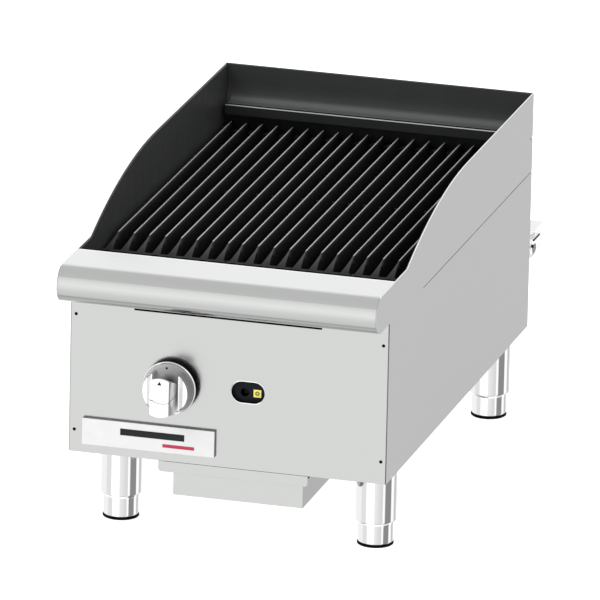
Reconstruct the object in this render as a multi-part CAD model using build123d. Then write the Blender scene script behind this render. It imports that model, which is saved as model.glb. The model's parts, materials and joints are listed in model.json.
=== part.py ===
from build123d import *
import math
import os

# Countertop gas charbroiler, 15 inches wide, with one burner.
# Everything is drawn in the body's own coordinates: X across the front, Y = 0 on the
# outer face of the front panel and growing towards the rear, Z = 0 on the bottom edge
# of the body. put() then moves each piece so that the written model has its origin at
# the bottom centre of its bounding box, on the surface that the feet stand on.

# ---------------------------------------------------------------- driving dimensions
BODY_WIDTH = 381.0
BODY_DEPTH = 640.0
BODY_HEIGHT = 291.0
LEG_HEIGHT = 101.6
SHEET = 1.2
GAP = 0.3

# Front shelf, or bull nose
SHELF_Z = 238.0
NOSE_RADIUS = 22.0
NOSE_CENTRE_Y = -38.0
SHELF_REAR_Y = 24.0
SHELF_LIP = 12.0

# Side splash guards
WING_RADIUS = 700.0
WING_TANGENT_Y = 341.0
SLIT_Z = 193.7
SLIT_FRONT_Y = 147.0
SLIT_HEIGHT = 1.0
NOTCH_Z = 235.5
NOTCH_DEPTH = 10.0
NOTCH_HEIGHT = 4.0

# Front panel features
SCREW_X = 183.7
SCREW_LOW_Z = 26.9
SCREW_HIGH_Z = 166.7
SCREW_RADIUS = 1.5
SCREW_HEAD_RADIUS = 2.0
SLOT_X = -1.8
SLOT_Z = 179.5
SLOT_WIDTH = 224.4
SLOT_HEIGHT = 2.6
WINDOW_X = 23.8
WINDOW_Z = 93.3
WINDOW_WIDTH = 42.0
WINDOW_HEIGHT = 27.4
PLATE_LEFT_X = -173.0
PLATE_WIDTH = 159.0
PLATE_LOW_Z = 11.3
PLATE_HEIGHT = 32.2
PLATE_THICK = 5.0

# Control knob and gas valve, both on one axis
KNOB_X = -67.8
KNOB_Z = 92.0
SKIRT_RADIUS = 32.0
SKIRT_REAR_Y = -9.0
SKIRT_FRONT_Y = -12.0
LOBE_RADIUS = 27.6
LOBE_INNER_X = 16.0
LOBE_FRONT_Y = -28.0
GRIP_FRONT_Y = -51.5
GRIP_WIDTH = 22.6
GRIP_TOP = 23.4
STEM_RADIUS = 4.0
STEM_REAR_Y = 44.0
VALVE_REAR_Y = 60.0
RUNNING_FIT = 0.05

# Firebox
FIREBOX_FRONT_Y = 96.0
FIREBOX_REAR_Y = 598.0
FIREBOX_LOW_Z = 14.0
SUPPORT_Z = 196.0
SUPPORT_WIDTH = 18.0
DECK_Z = 207.0
LINER_FRONT_Y = 26.0
LINER_REAR_Y = 636.2

# Cooking grates
RIB_PITCH = 19.05
SECTION_GAP = 0.8
RIB_TOP_WIDTH = 3.0
RIB_BASE_WIDTH = 13.0
RIB_TOP_Z = 222.5
FLANGE_TOP_Z = 212.5
FLANGE_THICK = 6.0
FLANGE_WIDTH = 8.0
GRATE_FRONT_Y = 106.0
GRATE_REAR_Y = 630.0
RIB_FRONT_FOOT_Y = 112.0
RIB_FRONT_TOP_Y = 153.0
RIB_ROOT_Y = 134.0
RIB_REAR_TOP_Y = 627.0
RIB_REAR_FOOT_Y = 629.6
REAR_FLANGE_Y = 617.0
WEB_Y = 388.0
SECTION_RIBS = (8, 8, 4)
SECTION_NAMES = ("left", "middle", "right")

# Burner and radiants
BURNER_RADIUS = 16.0
BURNER_WALL = 1.2
BURNER_REAR_Y = 470.0
BURNER_MOUTH_Y = 84.0
RADIANT_HALF_WIDTH = 52.0
RADIANT_RIDGE_Z = 160.0
RADIANT_DROP = 34.0
RADIANT_FRONT_Y = 140.0
RADIANT_LENGTH = 430.0

# Gas line, in 3/4 inch pipe
PIPE_RADIUS = 13.35
PIPE_WALL = 2.9
ELBOW_RADIUS = 16.5
MANIFOLD_Y = 46.0
MANIFOLD_Z = 50.0
PILOT_X = WINDOW_X - 5.5
PILOT_SCREW_Z = WINDOW_Z - 2.0
PILOT_Y = 114.0
PILOT_SCREW_RADIUS = 2.0
SUPPLY_X = 170.0
SUPPLY_Z = 19.5
REAR_ELBOW_Y = 620.0
REGULATOR_FRONT_Y = 656.0
REGULATOR_REAR_Y = 698.0
REGULATOR_END_Y = 745.0
REGULATOR_Z = 84.0
INLET_BORE_RADIUS = 12.1
INLET_BORE_LENGTH = 18.0

# Grease tray under the body
TRAY_X = 7.4
TRAY_WIDTH = 156.0
TRAY_LIP_WIDTH = 179.4
TRAY_BOX_FRONT_Y = 24.0
TRAY_REAR_Y = 560.0
TRAY_LOW_Z = -47.8
TRAY_LIP_LOW_Z = -13.2
TRAY_LIP_HIGH_Z = -0.4
TRAY_FLANGE_Z = -5.0
DRAIN_FRONT_Y = 112.0
DRAIN_REAR_Y = 530.0

# Legs
LEG_X = 153.7
LEG_CENTRE_X = 2.2
LEG_FRONT_Y = 88.0
LEG_REAR_Y = 599.0
LEG_RADIUS = 24.0
LEG_TUBE_LENGTH = 72.0
LEG_BOLT_OFFSETS = (-22, 22)
FOOT_RADIUS = 20.8
FOOT_PAD = 3.0

HALF_WIDTH = BODY_WIDTH / 2
INNER_X = HALF_WIDTH - SHEET
LINER_X = INNER_X - GAP - SHEET
NOSE_FRONT_Y = NOSE_CENTRE_Y - NOSE_RADIUS
NOSE_LOW_Z = SHELF_Z - 2 * NOSE_RADIUS
MIDDLE_Y = (NOSE_FRONT_Y + REGULATOR_END_Y) / 2
SIDES = (("left", -1), ("right", 1))
ENDS = (("front", LEG_FRONT_Y), ("rear", LEG_REAR_Y))


# ---------------------------------------------------------------- helpers
def block(x, y, z):
    """Box between two planes on each axis, each pair given as (low, high)."""
    low_to_high = [sorted(pair) for pair in (x, y, z)]
    sizes = [high - low for low, high in low_to_high]
    middles = [(high + low) / 2 for low, high in low_to_high]
    return Pos(*middles) * Box(*sizes)


def rod_x(x, y, z, radius):
    """Round bar along X, where x is (low, high)."""
    length = x[1] - x[0]
    return Pos((x[0] + x[1]) / 2, y, z) * Rot(0, 90, 0) * Cylinder(radius, length)


def rod_y(x, y, z, radius):
    """Round bar along Y, where y is (low, high)."""
    length = y[1] - y[0]
    return Pos(x, (y[0] + y[1]) / 2, z) * Rot(90, 0, 0) * Cylinder(radius, length)


def rod_z(x, y, z, radius):
    """Round bar along Z, where z is (low, high)."""
    length = z[1] - z[0]
    return Pos(x, y, (z[0] + z[1]) / 2) * Cylinder(radius, length)


def hex_y(x, y, z, across_flats):
    """Hexagonal bar along Y, where y is (low, high)."""
    radius = across_flats / math.sqrt(3)
    return front_extrusion(Pos(x, z) * RegularPolygon(radius, 6), y[0], y[1])


def side_extrusion(outline, x_low, thickness):
    """Extrude a face, drawn with Y across and Z up, along X."""
    return extrude(Plane.YZ.offset(x_low) * outline, amount=thickness, dir=(1, 0, 0))


def front_extrusion(outline, y_low, y_high):
    """Extrude a face, drawn with X across and Z up, from y_high forward to y_low."""
    return extrude(Plane.XZ.offset(-y_high) * outline, amount=y_high - y_low, dir=(0, -1, 0))


def mirrored(shape, side):
    """The shape itself on the right (+1), its mirror image on the left (-1)."""
    return shape if side > 0 else mirror(shape, Plane.YZ)


def put(name, *shapes):
    """Move the solids to the written origin and write them as one node."""
    placed = [Pos(0, -MIDDLE_Y, LEG_HEIGHT) * shape for shape in shapes]
    solids = [solid for shape in placed for solid in shape.solids()]
    node = solids[0] if len(solids) == 1 else Compound(children=solids)
    export_step(node, "parts/" + name + ".step")


# ---------------------------------------------------------------- casing
def wing_point(height, radius=WING_RADIUS, top=BODY_HEIGHT):
    """Point of the splash guard's arc at a given height."""
    drop = top - height
    reach = math.sqrt(radius ** 2 - (radius - drop) ** 2)
    return (WING_TANGENT_Y - reach, height)


def wing_edges(rear_y, low_front, top, corner_z):
    """Rear edge, level top and long arc that splash guard and liner share."""
    corner = wing_point(corner_z, top=top)
    middle = wing_point((top + corner_z) / 2 + 8, top=top)
    return [
        Line((rear_y, low_front), (rear_y, top)),
        Line((rear_y, top), (WING_TANGENT_Y, top)),
        ThreePointArc((WING_TANGENT_Y, top), middle, corner),
    ], corner


def side_panel_outline():
    """Splash guard, body side and end of the bull nose in one outline."""
    edges, corner = wing_edges(BODY_DEPTH, 0, BODY_HEIGHT, SHELF_Z)
    edges += [
        Line(corner, (NOSE_CENTRE_Y, SHELF_Z)),
        ThreePointArc((NOSE_CENTRE_Y, SHELF_Z), (NOSE_FRONT_Y, SHELF_Z - NOSE_RADIUS),
                      (NOSE_CENTRE_Y, NOSE_LOW_Z)),
        Line((NOSE_CENTRE_Y, NOSE_LOW_Z), (0, NOSE_LOW_Z)),
        Line((0, NOSE_LOW_Z), (0, 0)),
        Line((0, 0), (BODY_DEPTH, 0)),
    ]
    return make_face(Wire(edges))


def side_panel():
    """Right side: sheet with bottom and front flanges, a joint slit and a rear notch."""
    bottom_width = 18.0
    front_width = 13.0
    front_y = (SHEET + GAP, 2 * SHEET + GAP)
    sheet = side_extrusion(side_panel_outline(), INNER_X, SHEET)
    sheet += block((INNER_X - bottom_width, INNER_X), (15, BODY_DEPTH - 2), (0, SHEET))
    sheet += block((INNER_X - front_width, INNER_X), front_y, (2, SLIT_Z - 6))
    for z in (SCREW_LOW_Z, SCREW_HIGH_Z):
        sheet -= rod_y(SCREW_X, (0, 5), z, SCREW_RADIUS + RUNNING_FIT)
    slit = block((INNER_X - 1, HALF_WIDTH + 1), (SLIT_FRONT_Y, BODY_DEPTH + 1),
                 (SLIT_Z - SLIT_HEIGHT / 2, SLIT_Z + SLIT_HEIGHT / 2))
    notch = block((INNER_X - 1, HALF_WIDTH + 1), (BODY_DEPTH - NOTCH_DEPTH, BODY_DEPTH + 1),
                  (NOTCH_Z - NOTCH_HEIGHT / 2, NOTCH_Z + NOTCH_HEIGHT / 2))
    return sheet - slit - notch


def splash_liner():
    """Right inner wall of the firebox and of the splash guard."""
    top = BODY_HEIGHT - 1.5
    shelf = SHELF_Z - 1.5
    edges, corner = wing_edges(LINER_REAR_Y, FIREBOX_LOW_Z, top, shelf)
    edges += [
        Line(corner, (LINER_FRONT_Y, shelf)),
        Line((LINER_FRONT_Y, shelf), (LINER_FRONT_Y, DECK_Z - SHEET)),
        Line((LINER_FRONT_Y, DECK_Z - SHEET), (FIREBOX_FRONT_Y, DECK_Z - SHEET)),
        Line((FIREBOX_FRONT_Y, DECK_Z - SHEET), (FIREBOX_FRONT_Y, FIREBOX_LOW_Z)),
        Line((FIREBOX_FRONT_Y, FIREBOX_LOW_Z), (LINER_REAR_Y, FIREBOX_LOW_Z)),
    ]
    return side_extrusion(make_face(Wire(edges)), LINER_X, SHEET)


def back_panel():
    """Rear sheet with the gas pipe's hole and a row of air slots."""
    slot_count = 5
    slot_pitch = 56.0
    slot_z = 34.0
    sheet = block((-INNER_X, INNER_X), (BODY_DEPTH - SHEET, BODY_DEPTH), (SHEET + GAP, BODY_HEIGHT))
    sheet -= rod_y(SUPPLY_X, (BODY_DEPTH - 5, BODY_DEPTH + 5), REGULATOR_Z, PIPE_RADIUS + 1.5)
    for index in range(slot_count):
        x = (index - (slot_count - 1) / 2) * slot_pitch
        sheet -= front_extrusion(Pos(x, slot_z) * SlotOverall(42, 8), BODY_DEPTH - 3, BODY_DEPTH + 1)
    return sheet


def back_splash_liner():
    """Black inner sheet of the rear splash guard."""
    y = (LINER_REAR_Y + GAP, LINER_REAR_Y + GAP + SHEET)
    sheet = block((-LINER_X + GAP, LINER_X - GAP), y, (FIREBOX_LOW_Z, BODY_HEIGHT - 0.5))
    return sheet - rod_y(SUPPLY_X, (y[0] - 1, y[1] + 1), REGULATOR_Z, PIPE_RADIUS + 1.5)


def rear_ledge():
    """Bent angle across the rear, over the rear ends of the grates."""
    front = 611.0
    top = 247.5
    face = 12.0
    half = LINER_X - 5.5
    ledge = block((-half, half), (front, LINER_REAR_Y), (top - SHEET, top))
    ledge += block((-half, half), (front, front + SHEET), (top - face, top))
    ledge += block((-half, half), (LINER_REAR_Y - SHEET, LINER_REAR_Y), (top - SHEET, top + 8))
    relief = Plane.XY.offset(top - face - 1) * Pos(-half, front) * Polygon((0, 0), (3, 0), (0, 6), align=None)
    return ledge - extrude(relief, amount=face + 2)


def front_panel():
    """Front sheet with its window, vent slot, stem hole and screw holes."""
    top = NOSE_LOW_Z - 0.1
    flange = 13.0
    panel = block((-INNER_X + 0.1, INNER_X - 0.1), (0, SHEET), (0, top))
    panel += block((-INNER_X + 20, INNER_X - 20), (0, flange), (top - SHEET, top))
    panel += block((-INNER_X + 20, INNER_X - 20), (0, flange), (0, SHEET))
    panel -= front_extrusion(Pos(WINDOW_X, WINDOW_Z) * SlotOverall(WINDOW_WIDTH, WINDOW_HEIGHT), -1, 3)
    panel -= block((SLOT_X - SLOT_WIDTH / 2, SLOT_X + SLOT_WIDTH / 2), (-1, 3),
                   (SLOT_Z - SLOT_HEIGHT / 2, SLOT_Z + SLOT_HEIGHT / 2))
    panel -= rod_y(KNOB_X, (-1, 3), KNOB_Z, 10.5)
    for x in (-SCREW_X, SCREW_X):
        for z in (SCREW_LOW_Z, SCREW_HIGH_Z):
            panel -= rod_y(x, (-1, 3), z, SCREW_RADIUS + RUNNING_FIT)
    return panel


def front_panel_screws():
    """Four black countersunk screws with their shanks."""
    screws = []
    for x in (-SCREW_X, SCREW_X):
        for z in (SCREW_LOW_Z, SCREW_HIGH_Z):
            head = rod_y(x, (-0.6, 0), z, SCREW_HEAD_RADIUS)
            shank = rod_y(x, (0, 9), z, SCREW_RADIUS)
            screws.append(head + shank)
    return screws


def nose_region(radius, rear_y):
    """Solid bull nose of a given radius, round at the front and flat behind."""
    centre_z = SHELF_Z - NOSE_RADIUS
    half = INNER_X - 0.1
    nose = rod_x((-half, half), NOSE_CENTRE_Y, centre_z, radius)
    return nose + block((-half, half), (NOSE_CENTRE_Y, rear_y), (centre_z - radius, centre_z + radius))


def front_shelf():
    """Bull nose bent from one sheet, open at the rear, with a lip behind."""
    under_rear_y = 14.0
    half = INNER_X - 0.1
    shell = nose_region(NOSE_RADIUS, SHELF_REAR_Y) - nose_region(NOSE_RADIUS - SHEET, SHELF_REAR_Y + 1)
    shell -= block((-half - 1, half + 1), (under_rear_y, SHELF_REAR_Y + 1), (NOSE_LOW_Z - 1, NOSE_LOW_Z + 5))
    lip = block((-half, half), (SHELF_REAR_Y - SHEET, SHELF_REAR_Y), (SHELF_Z - SHELF_LIP, SHELF_Z))
    return shell + lip


def nameplate():
    """Plain raised plate at the lower left of the front panel."""
    return block((PLATE_LEFT_X, PLATE_LEFT_X + PLATE_WIDTH), (-PLATE_THICK, 0),
                 (PLATE_LOW_Z, PLATE_LOW_Z + PLATE_HEIGHT))


def nameplate_stripes():
    """Two plain coloured bars on the plate, with no lettering."""
    inset = 12.0
    bars = []
    for low, height in ((19.5, 5.0), (8.0, 3.0)):
        z = PLATE_LOW_Z + low
        bars.append(block((PLATE_LEFT_X + inset, PLATE_LEFT_X + PLATE_WIDTH - inset),
                          (-PLATE_THICK - 0.3, -PLATE_THICK), (z, z + height)))
    return bars


def bottom_pan():
    """Floor of the body, open over the grease tray."""
    half = INNER_X - 0.2
    pan = block((-half, half), (14, BODY_DEPTH - SHEET - GAP), (SHEET, 2 * SHEET))
    return pan - block((TRAY_X - TRAY_WIDTH / 2 + 8, TRAY_X + TRAY_WIDTH / 2 - 8),
                       (DRAIN_FRONT_Y, DRAIN_REAR_Y), (0, 5))


# ---------------------------------------------------------------- firebox
def firebox_front_wall():
    """Bent sheet: firebox front, ledge for the grates, and deck under the shelf."""
    half = LINER_X - GAP
    face_y = FIREBOX_FRONT_Y + SHEET
    wall = block((-half, half), (FIREBOX_FRONT_Y, face_y), (FIREBOX_LOW_Z, DECK_Z))
    wall += block((-half, half), (face_y, face_y + SUPPORT_WIDTH), (SUPPORT_Z - SHEET, SUPPORT_Z))
    wall += block((-half, half), (LINER_FRONT_Y, face_y), (DECK_Z - SHEET, DECK_Z))
    wall += block((-half, half), (LINER_FRONT_Y, LINER_FRONT_Y + SHEET), (DECK_Z - SHEET, SHELF_Z - 3))
    y = (FIREBOX_FRONT_Y - 1, FIREBOX_FRONT_Y + 3)
    wall -= rod_y(KNOB_X, y, KNOB_Z, BURNER_RADIUS + 0.3)
    wall -= rod_y(PILOT_X, y, WINDOW_Z, 5)
    return wall - rod_y(SUPPLY_X, y, SUPPLY_Z, PIPE_RADIUS + 0.5)


def firebox_rear_wall():
    """Bent sheet that closes the firebox and carries the grates behind."""
    half = LINER_X - GAP
    wall = block((-half, half), (FIREBOX_REAR_Y, FIREBOX_REAR_Y + SHEET), (FIREBOX_LOW_Z, SUPPORT_Z))
    wall -= rod_y(SUPPLY_X, (FIREBOX_REAR_Y - 1, FIREBOX_REAR_Y + 3), SUPPLY_Z, PIPE_RADIUS + 0.5)
    return wall + block((-half, half), (FIREBOX_REAR_Y, LINER_REAR_Y), (SUPPORT_Z - SHEET, SUPPORT_Z))


def grease_chute(side):
    """Sloping sheet that leads grease from one side wall to the tray."""
    wall_x = LINER_X - 2 * GAP
    drain_x = side * TRAY_X + TRAY_WIDTH / 2 - 10
    high_z = 62.0
    low_z = 4.0
    thick = 1.6
    outline = Polygon((wall_x, high_z), (drain_x, low_z), (drain_x, low_z + thick),
                      (wall_x, high_z + thick), align=None)
    chute = front_extrusion(outline, FIREBOX_FRONT_Y + SHEET + GAP, FIREBOX_REAR_Y - GAP)
    return mirrored(chute, side)


def burner():
    """U-shaped tube burner: open mouth in front of the wall, ports, closed end."""
    outer = BURNER_RADIUS
    inner = BURNER_RADIUS - BURNER_WALL
    end_y = 118.0
    port_pitch = 19.0
    port_radius = 1.6

    def tube(radius, mouth_y, closed_y):
        legs = rod_y(KNOB_X, (mouth_y, BURNER_REAR_Y), KNOB_Z, radius)
        legs += rod_y(-KNOB_X, (closed_y, BURNER_REAR_Y), KNOB_Z, radius)
        ring = Plane.XZ.offset(-BURNER_REAR_Y) * Pos(-KNOB_X, KNOB_Z) * Circle(radius)
        bend_axis = Axis((0, BURNER_REAR_Y, 0), (0, 0, 1))
        return legs + revolve(ring, bend_axis, 180)

    pipe = tube(outer, BURNER_MOUTH_Y, end_y) - tube(inner, BURNER_MOUTH_Y - 1, end_y + 2)
    count = int((BURNER_REAR_Y - end_y - 20) / port_pitch)
    for x in (KNOB_X, -KNOB_X):
        for index in range(count):
            y = end_y + 18 + index * port_pitch
            for lean in (-50, 50):
                drill = Pos(x, y, KNOB_Z) * Rot(0, lean, 0) * Pos(0, 0, outer)
                pipe -= drill * Cylinder(port_radius, 6)
    return pipe


def burner_bracket(y):
    """Bar across the firebox with two cradles that hold the burner's legs."""
    half = LINER_X - 2 * GAP
    bar = block((-half, half), (y, y + 3), (66, 74))
    for x in (KNOB_X, -KNOB_X):
        bar += block((x - 20, x + 20), (y, y + 3), (66, KNOB_Z - 4))
        bar -= rod_y(x, (y - 1, y + 4), KNOB_Z, BURNER_RADIUS + 0.3)
    return bar


def radiant(x):
    """Ridged plate over one leg of the burner."""
    thick = 2.0
    low_z = RADIANT_RIDGE_Z - RADIANT_DROP
    half = RADIANT_HALF_WIDTH
    outline = Polygon((x - half, low_z), (x, RADIANT_RIDGE_Z), (x + half, low_z),
                      (x + half, low_z - thick), (x, RADIANT_RIDGE_Z - thick),
                      (x - half, low_z - thick), align=None)
    plate = front_extrusion(outline, RADIANT_FRONT_Y, RADIANT_FRONT_Y + RADIANT_LENGTH)
    for row in range(8):
        for side in (-1, 1):
            y = RADIANT_FRONT_Y + 40 + row * 50
            plate -= Pos(x + side * half / 2, y, low_z + RADIANT_DROP / 2) * Cylinder(6, 60)
    return plate


def radiant_rail(y):
    """Angle across the firebox that the radiants rest on."""
    half = LINER_X - 2 * GAP
    top = RADIANT_RIDGE_Z - RADIANT_DROP - 2.0
    rail = block((-half, half), (y, y + 16), (top - SHEET, top))
    return rail + block((-half, half), (y, y + SHEET), (top - 14, top))


# ---------------------------------------------------------------- cooking grates
def rib_side_outline():
    """Side view of a rib, whose ends slope down to the flanges."""
    return Polygon((GRATE_FRONT_Y, SUPPORT_Z), (GRATE_FRONT_Y, FLANGE_TOP_Z),
                   (RIB_FRONT_FOOT_Y, FLANGE_TOP_Z), (RIB_FRONT_TOP_Y, RIB_TOP_Z),
                   (RIB_REAR_TOP_Y, RIB_TOP_Z), (RIB_REAR_FOOT_Y, FLANGE_TOP_Z),
                   (GRATE_REAR_Y, FLANGE_TOP_Z), (GRATE_REAR_Y, SUPPORT_Z), align=None)


def rib(x):
    """One tapered rib, narrow on top, with a root that widens towards the front."""
    half_top = RIB_TOP_WIDTH / 2
    half_base = RIB_BASE_WIDTH / 2
    section = Polygon((x - half_base, SUPPORT_Z), (x + half_base, SUPPORT_Z),
                      (x + half_top, RIB_TOP_Z), (x - half_top, RIB_TOP_Z), align=None)
    bar = front_extrusion(section, GRATE_FRONT_Y, GRATE_REAR_Y)
    bar &= side_extrusion(rib_side_outline(), x - RIB_BASE_WIDTH, 2 * RIB_BASE_WIDTH)
    root = Polygon((x - RIB_PITCH / 2, GRATE_FRONT_Y + 1), (x + RIB_PITCH / 2, GRATE_FRONT_Y + 1),
                   (x + 4, RIB_ROOT_Y), (x - 4, RIB_ROOT_Y), align=None)
    low = FLANGE_TOP_Z - FLANGE_THICK
    return bar + extrude(Pos(0, 0, low) * root, amount=FLANGE_THICK, dir=(0, 0, 1))


def section_width(count):
    """Width of a grate section with a given number of ribs."""
    return (count - 1) * RIB_PITCH + RIB_BASE_WIDTH + 3.0


def grate(x_low, count):
    """Cast grate section: tapered ribs, a flange at each end and a middle web."""
    x_high = x_low + section_width(count)
    first = (x_low + x_high - (count - 1) * RIB_PITCH) / 2
    last = first + (count - 1) * RIB_PITCH
    flange_low = FLANGE_TOP_Z - FLANGE_THICK
    casting = block((x_low, x_high), (GRATE_FRONT_Y, GRATE_FRONT_Y + FLANGE_WIDTH), (SUPPORT_Z, FLANGE_TOP_Z))
    casting += block((x_low, x_high), (REAR_FLANGE_Y, GRATE_REAR_Y), (flange_low, FLANGE_TOP_Z))
    casting += block((first, last), (WEB_Y - 4, WEB_Y + 4), (SUPPORT_Z + 1, SUPPORT_Z + 10))
    for index in range(count):
        casting += rib(first + index * RIB_PITCH)
    envelope = block((x_low, x_high), (GRATE_FRONT_Y, GRATE_REAR_Y), (SUPPORT_Z, RIB_TOP_Z))
    return casting & envelope, x_high


def grates():
    """The three sections side by side, filling the width between the liners."""
    total = sum(section_width(count) for count in SECTION_RIBS)
    total += SECTION_GAP * (len(SECTION_RIBS) - 1)
    x = -total / 2
    sections = []
    for name, count in zip(SECTION_NAMES, SECTION_RIBS):
        casting, x_high = grate(x, count)
        sections.append((name + "_grate", casting))
        x = x_high + SECTION_GAP
    return sections


# ---------------------------------------------------------------- gas train
def manifold_pipe():
    """Pipe behind the front panel that feeds valve and pilot."""
    pipe = rod_x((-100, SUPPLY_X - 17.3), MANIFOLD_Y, MANIFOLD_Z, PIPE_RADIUS)
    pipe -= rod_x((-101, SUPPLY_X), MANIFOLD_Y, MANIFOLD_Z, PIPE_RADIUS - PIPE_WALL)
    for x, radius in ((KNOB_X, 7.0), (PILOT_X, 4.0)):
        pipe -= rod_z(x, MANIFOLD_Y, (MANIFOLD_Z, MANIFOLD_Z + 20), radius)
    return pipe


def manifold_cap():
    """Screwed cap that closes the manifold's free end."""
    cap = rod_x((-112, -86), MANIFOLD_Y, MANIFOLD_Z, ELBOW_RADIUS)
    return cap - rod_x((-105, -85), MANIFOLD_Y, MANIFOLD_Z, PIPE_RADIUS + RUNNING_FIT)


def elbow_run(start, corners, end, radius):
    """Chain of round bars with a ball at each corner, every leg along one axis."""
    points = [start, *corners, end]
    run = None
    for a, b in zip(points, points[1:]):
        middle = [(p + q) / 2 for p, q in zip(a, b)]
        length = sum(abs(p - q) for p, q in zip(a, b))
        turn = Rot(0, 90, 0) if a[0] != b[0] else Rot(90, 0, 0) if a[1] != b[1] else Rot(0, 0, 0)
        bar = Pos(*middle) * turn * Cylinder(radius, length)
        run = bar if run is None else run + bar
    for corner in corners:
        run += Pos(*corner) * Sphere(radius)
    return run


def front_elbows():
    """Two elbows that take gas from the low supply pipe up to the manifold."""
    start = (SUPPLY_X - 30, MANIFOLD_Y, MANIFOLD_Z)
    corners = [(SUPPLY_X, MANIFOLD_Y, MANIFOLD_Z), (SUPPLY_X, MANIFOLD_Y, SUPPLY_Z)]
    end = (SUPPLY_X, MANIFOLD_Y + 30, SUPPLY_Z)
    elbows = elbow_run(start, corners, end, ELBOW_RADIUS)
    elbows -= elbow_run(start, corners, end, PIPE_RADIUS - PIPE_WALL)
    elbows -= rod_x((SUPPLY_X - 31, SUPPLY_X - 17.2), MANIFOLD_Y, MANIFOLD_Z, PIPE_RADIUS + RUNNING_FIT)
    return elbows - rod_y(SUPPLY_X, (MANIFOLD_Y + 17.2, MANIFOLD_Y + 31), SUPPLY_Z, PIPE_RADIUS + RUNNING_FIT)


def rear_elbows():
    """Two elbows behind the firebox, from the low supply pipe up to the inlet."""
    y = REAR_ELBOW_Y
    start = (SUPPLY_X, y - 16, SUPPLY_Z)
    corners = [(SUPPLY_X, y, SUPPLY_Z), (SUPPLY_X, y, REGULATOR_Z)]
    end = (SUPPLY_X, BODY_DEPTH + 4, REGULATOR_Z)
    elbows = elbow_run(start, corners, end, PIPE_RADIUS)
    return elbows - elbow_run(start, corners, end, PIPE_RADIUS - PIPE_WALL)


def supply_pipe():
    """Pipe under the right grease chute, from the rear elbows to the front ones."""
    y = (MANIFOLD_Y + 17.3, REAR_ELBOW_Y - 16)
    pipe = rod_y(SUPPLY_X, y, SUPPLY_Z, PIPE_RADIUS)
    return pipe - rod_y(SUPPLY_X, (y[0] - 1, y[1] + 1), SUPPLY_Z, PIPE_RADIUS - PIPE_WALL)


def inlet_nipple():
    """Short pipe from the rear panel to the regulator."""
    y = (BODY_DEPTH + 4, REGULATOR_FRONT_Y + 12)
    pipe = rod_y(SUPPLY_X, y, REGULATOR_Z, PIPE_RADIUS)
    return pipe - rod_y(SUPPLY_X, (y[0] - 1, y[1] + 1), REGULATOR_Z, PIPE_RADIUS - PIPE_WALL)


def regulator_body():
    """Die-cast pressure regulator: round barrel, top flange and hexagonal necks."""
    x = SUPPLY_X
    z = REGULATOR_Z
    body = rod_y(x, (REGULATOR_FRONT_Y, REGULATOR_REAR_Y), z, 15.5)
    body += hex_y(x, (REGULATOR_FRONT_Y, REGULATOR_FRONT_Y + 8), z, 32)
    body += hex_y(x, (REGULATOR_REAR_Y, REGULATOR_END_Y), z, 32)
    flange = block((x - 17.5, x + 17.5), (REGULATOR_FRONT_Y + 9, REGULATOR_REAR_Y), (z + 9, z + 16))
    body += fillet(flange.edges().filter_by(Axis.Z), 6)
    body -= rod_y(x, (REGULATOR_FRONT_Y - 1, REGULATOR_FRONT_Y + 12.1), z, PIPE_RADIUS + RUNNING_FIT)
    body -= rod_y(x, (REGULATOR_END_Y - INLET_BORE_LENGTH, REGULATOR_END_Y + 1), z, INLET_BORE_RADIUS)
    return body - rod_y(x, (REGULATOR_FRONT_Y, REGULATOR_END_Y), z, 7)


def regulator_bonnet():
    """Round diaphragm housing on top of the regulator."""
    y = (REGULATOR_FRONT_Y + 9 + REGULATOR_REAR_Y) / 2
    low = REGULATOR_Z + 16.0
    return rod_z(SUPPLY_X, y, (low, low + 2.5), 15.5) + Pos(SUPPLY_X, y, low + 4.5) * Cone(14, 10, 4)


def regulator_cap():
    """Screwed cap over the regulator's adjusting spring."""
    y = (REGULATOR_FRONT_Y + 9 + REGULATOR_REAR_Y) / 2
    low = REGULATOR_Z + 22.5
    return rod_z(SUPPLY_X, y, (low, low + 4), 8) + rod_z(SUPPLY_X, y, (low + 4, low + 6), 4)


def valve_body():
    """Brass gas valve screwed into the manifold."""
    body = block((KNOB_X - 14, KNOB_X + 14), (24, VALVE_REAR_Y), (KNOB_Z - 14, KNOB_Z + 14))
    body = fillet(body.edges().filter_by(Axis.Y), 4)
    body += rod_y(KNOB_X, (2, 24), KNOB_Z, 9.5)
    body += rod_z(KNOB_X, MANIFOLD_Y, (MANIFOLD_Z + 10.5, KNOB_Z - 14), 6.95)
    return body - rod_y(KNOB_X, (1, STEM_REAR_Y + 0.5), KNOB_Z, STEM_RADIUS + RUNNING_FIT)


def burner_orifice():
    """Hexagonal spud that jets gas into the burner's mouth."""
    tip_y = BURNER_MOUTH_Y + 6
    spud = hex_y(KNOB_X, (VALVE_REAR_Y, VALVE_REAR_Y + 12), KNOB_Z, 11)
    spud += rod_y(KNOB_X, (VALVE_REAR_Y + 12, tip_y), KNOB_Z, 3.5)
    return spud - rod_y(KNOB_X, (VALVE_REAR_Y + 2, tip_y + 1), KNOB_Z, 1.0)


def air_shutter():
    """Turning collar over the burner's mouth, with two air windows."""
    rear = FIREBOX_FRONT_Y - 0.6
    front = BURNER_MOUTH_Y - 2.0
    shutter = rod_y(KNOB_X, (front, rear), KNOB_Z, BURNER_RADIUS + 1.6)
    shutter -= rod_y(KNOB_X, (front + 1.6, rear + 1), KNOB_Z, BURNER_RADIUS + RUNNING_FIT)
    shutter -= rod_y(KNOB_X, (front - 1, rear), KNOB_Z, 5.5)
    for side in (-1, 1):
        shutter -= rod_y(KNOB_X + side * 10.2, (front - 1, front + 1.5), KNOB_Z, 3.6)
    return shutter


def valve_stem():
    """Stem between the valve's plug and the knob."""
    return rod_y(KNOB_X, (LOBE_FRONT_Y + 3, STEM_REAR_Y), KNOB_Z, STEM_RADIUS)


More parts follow.
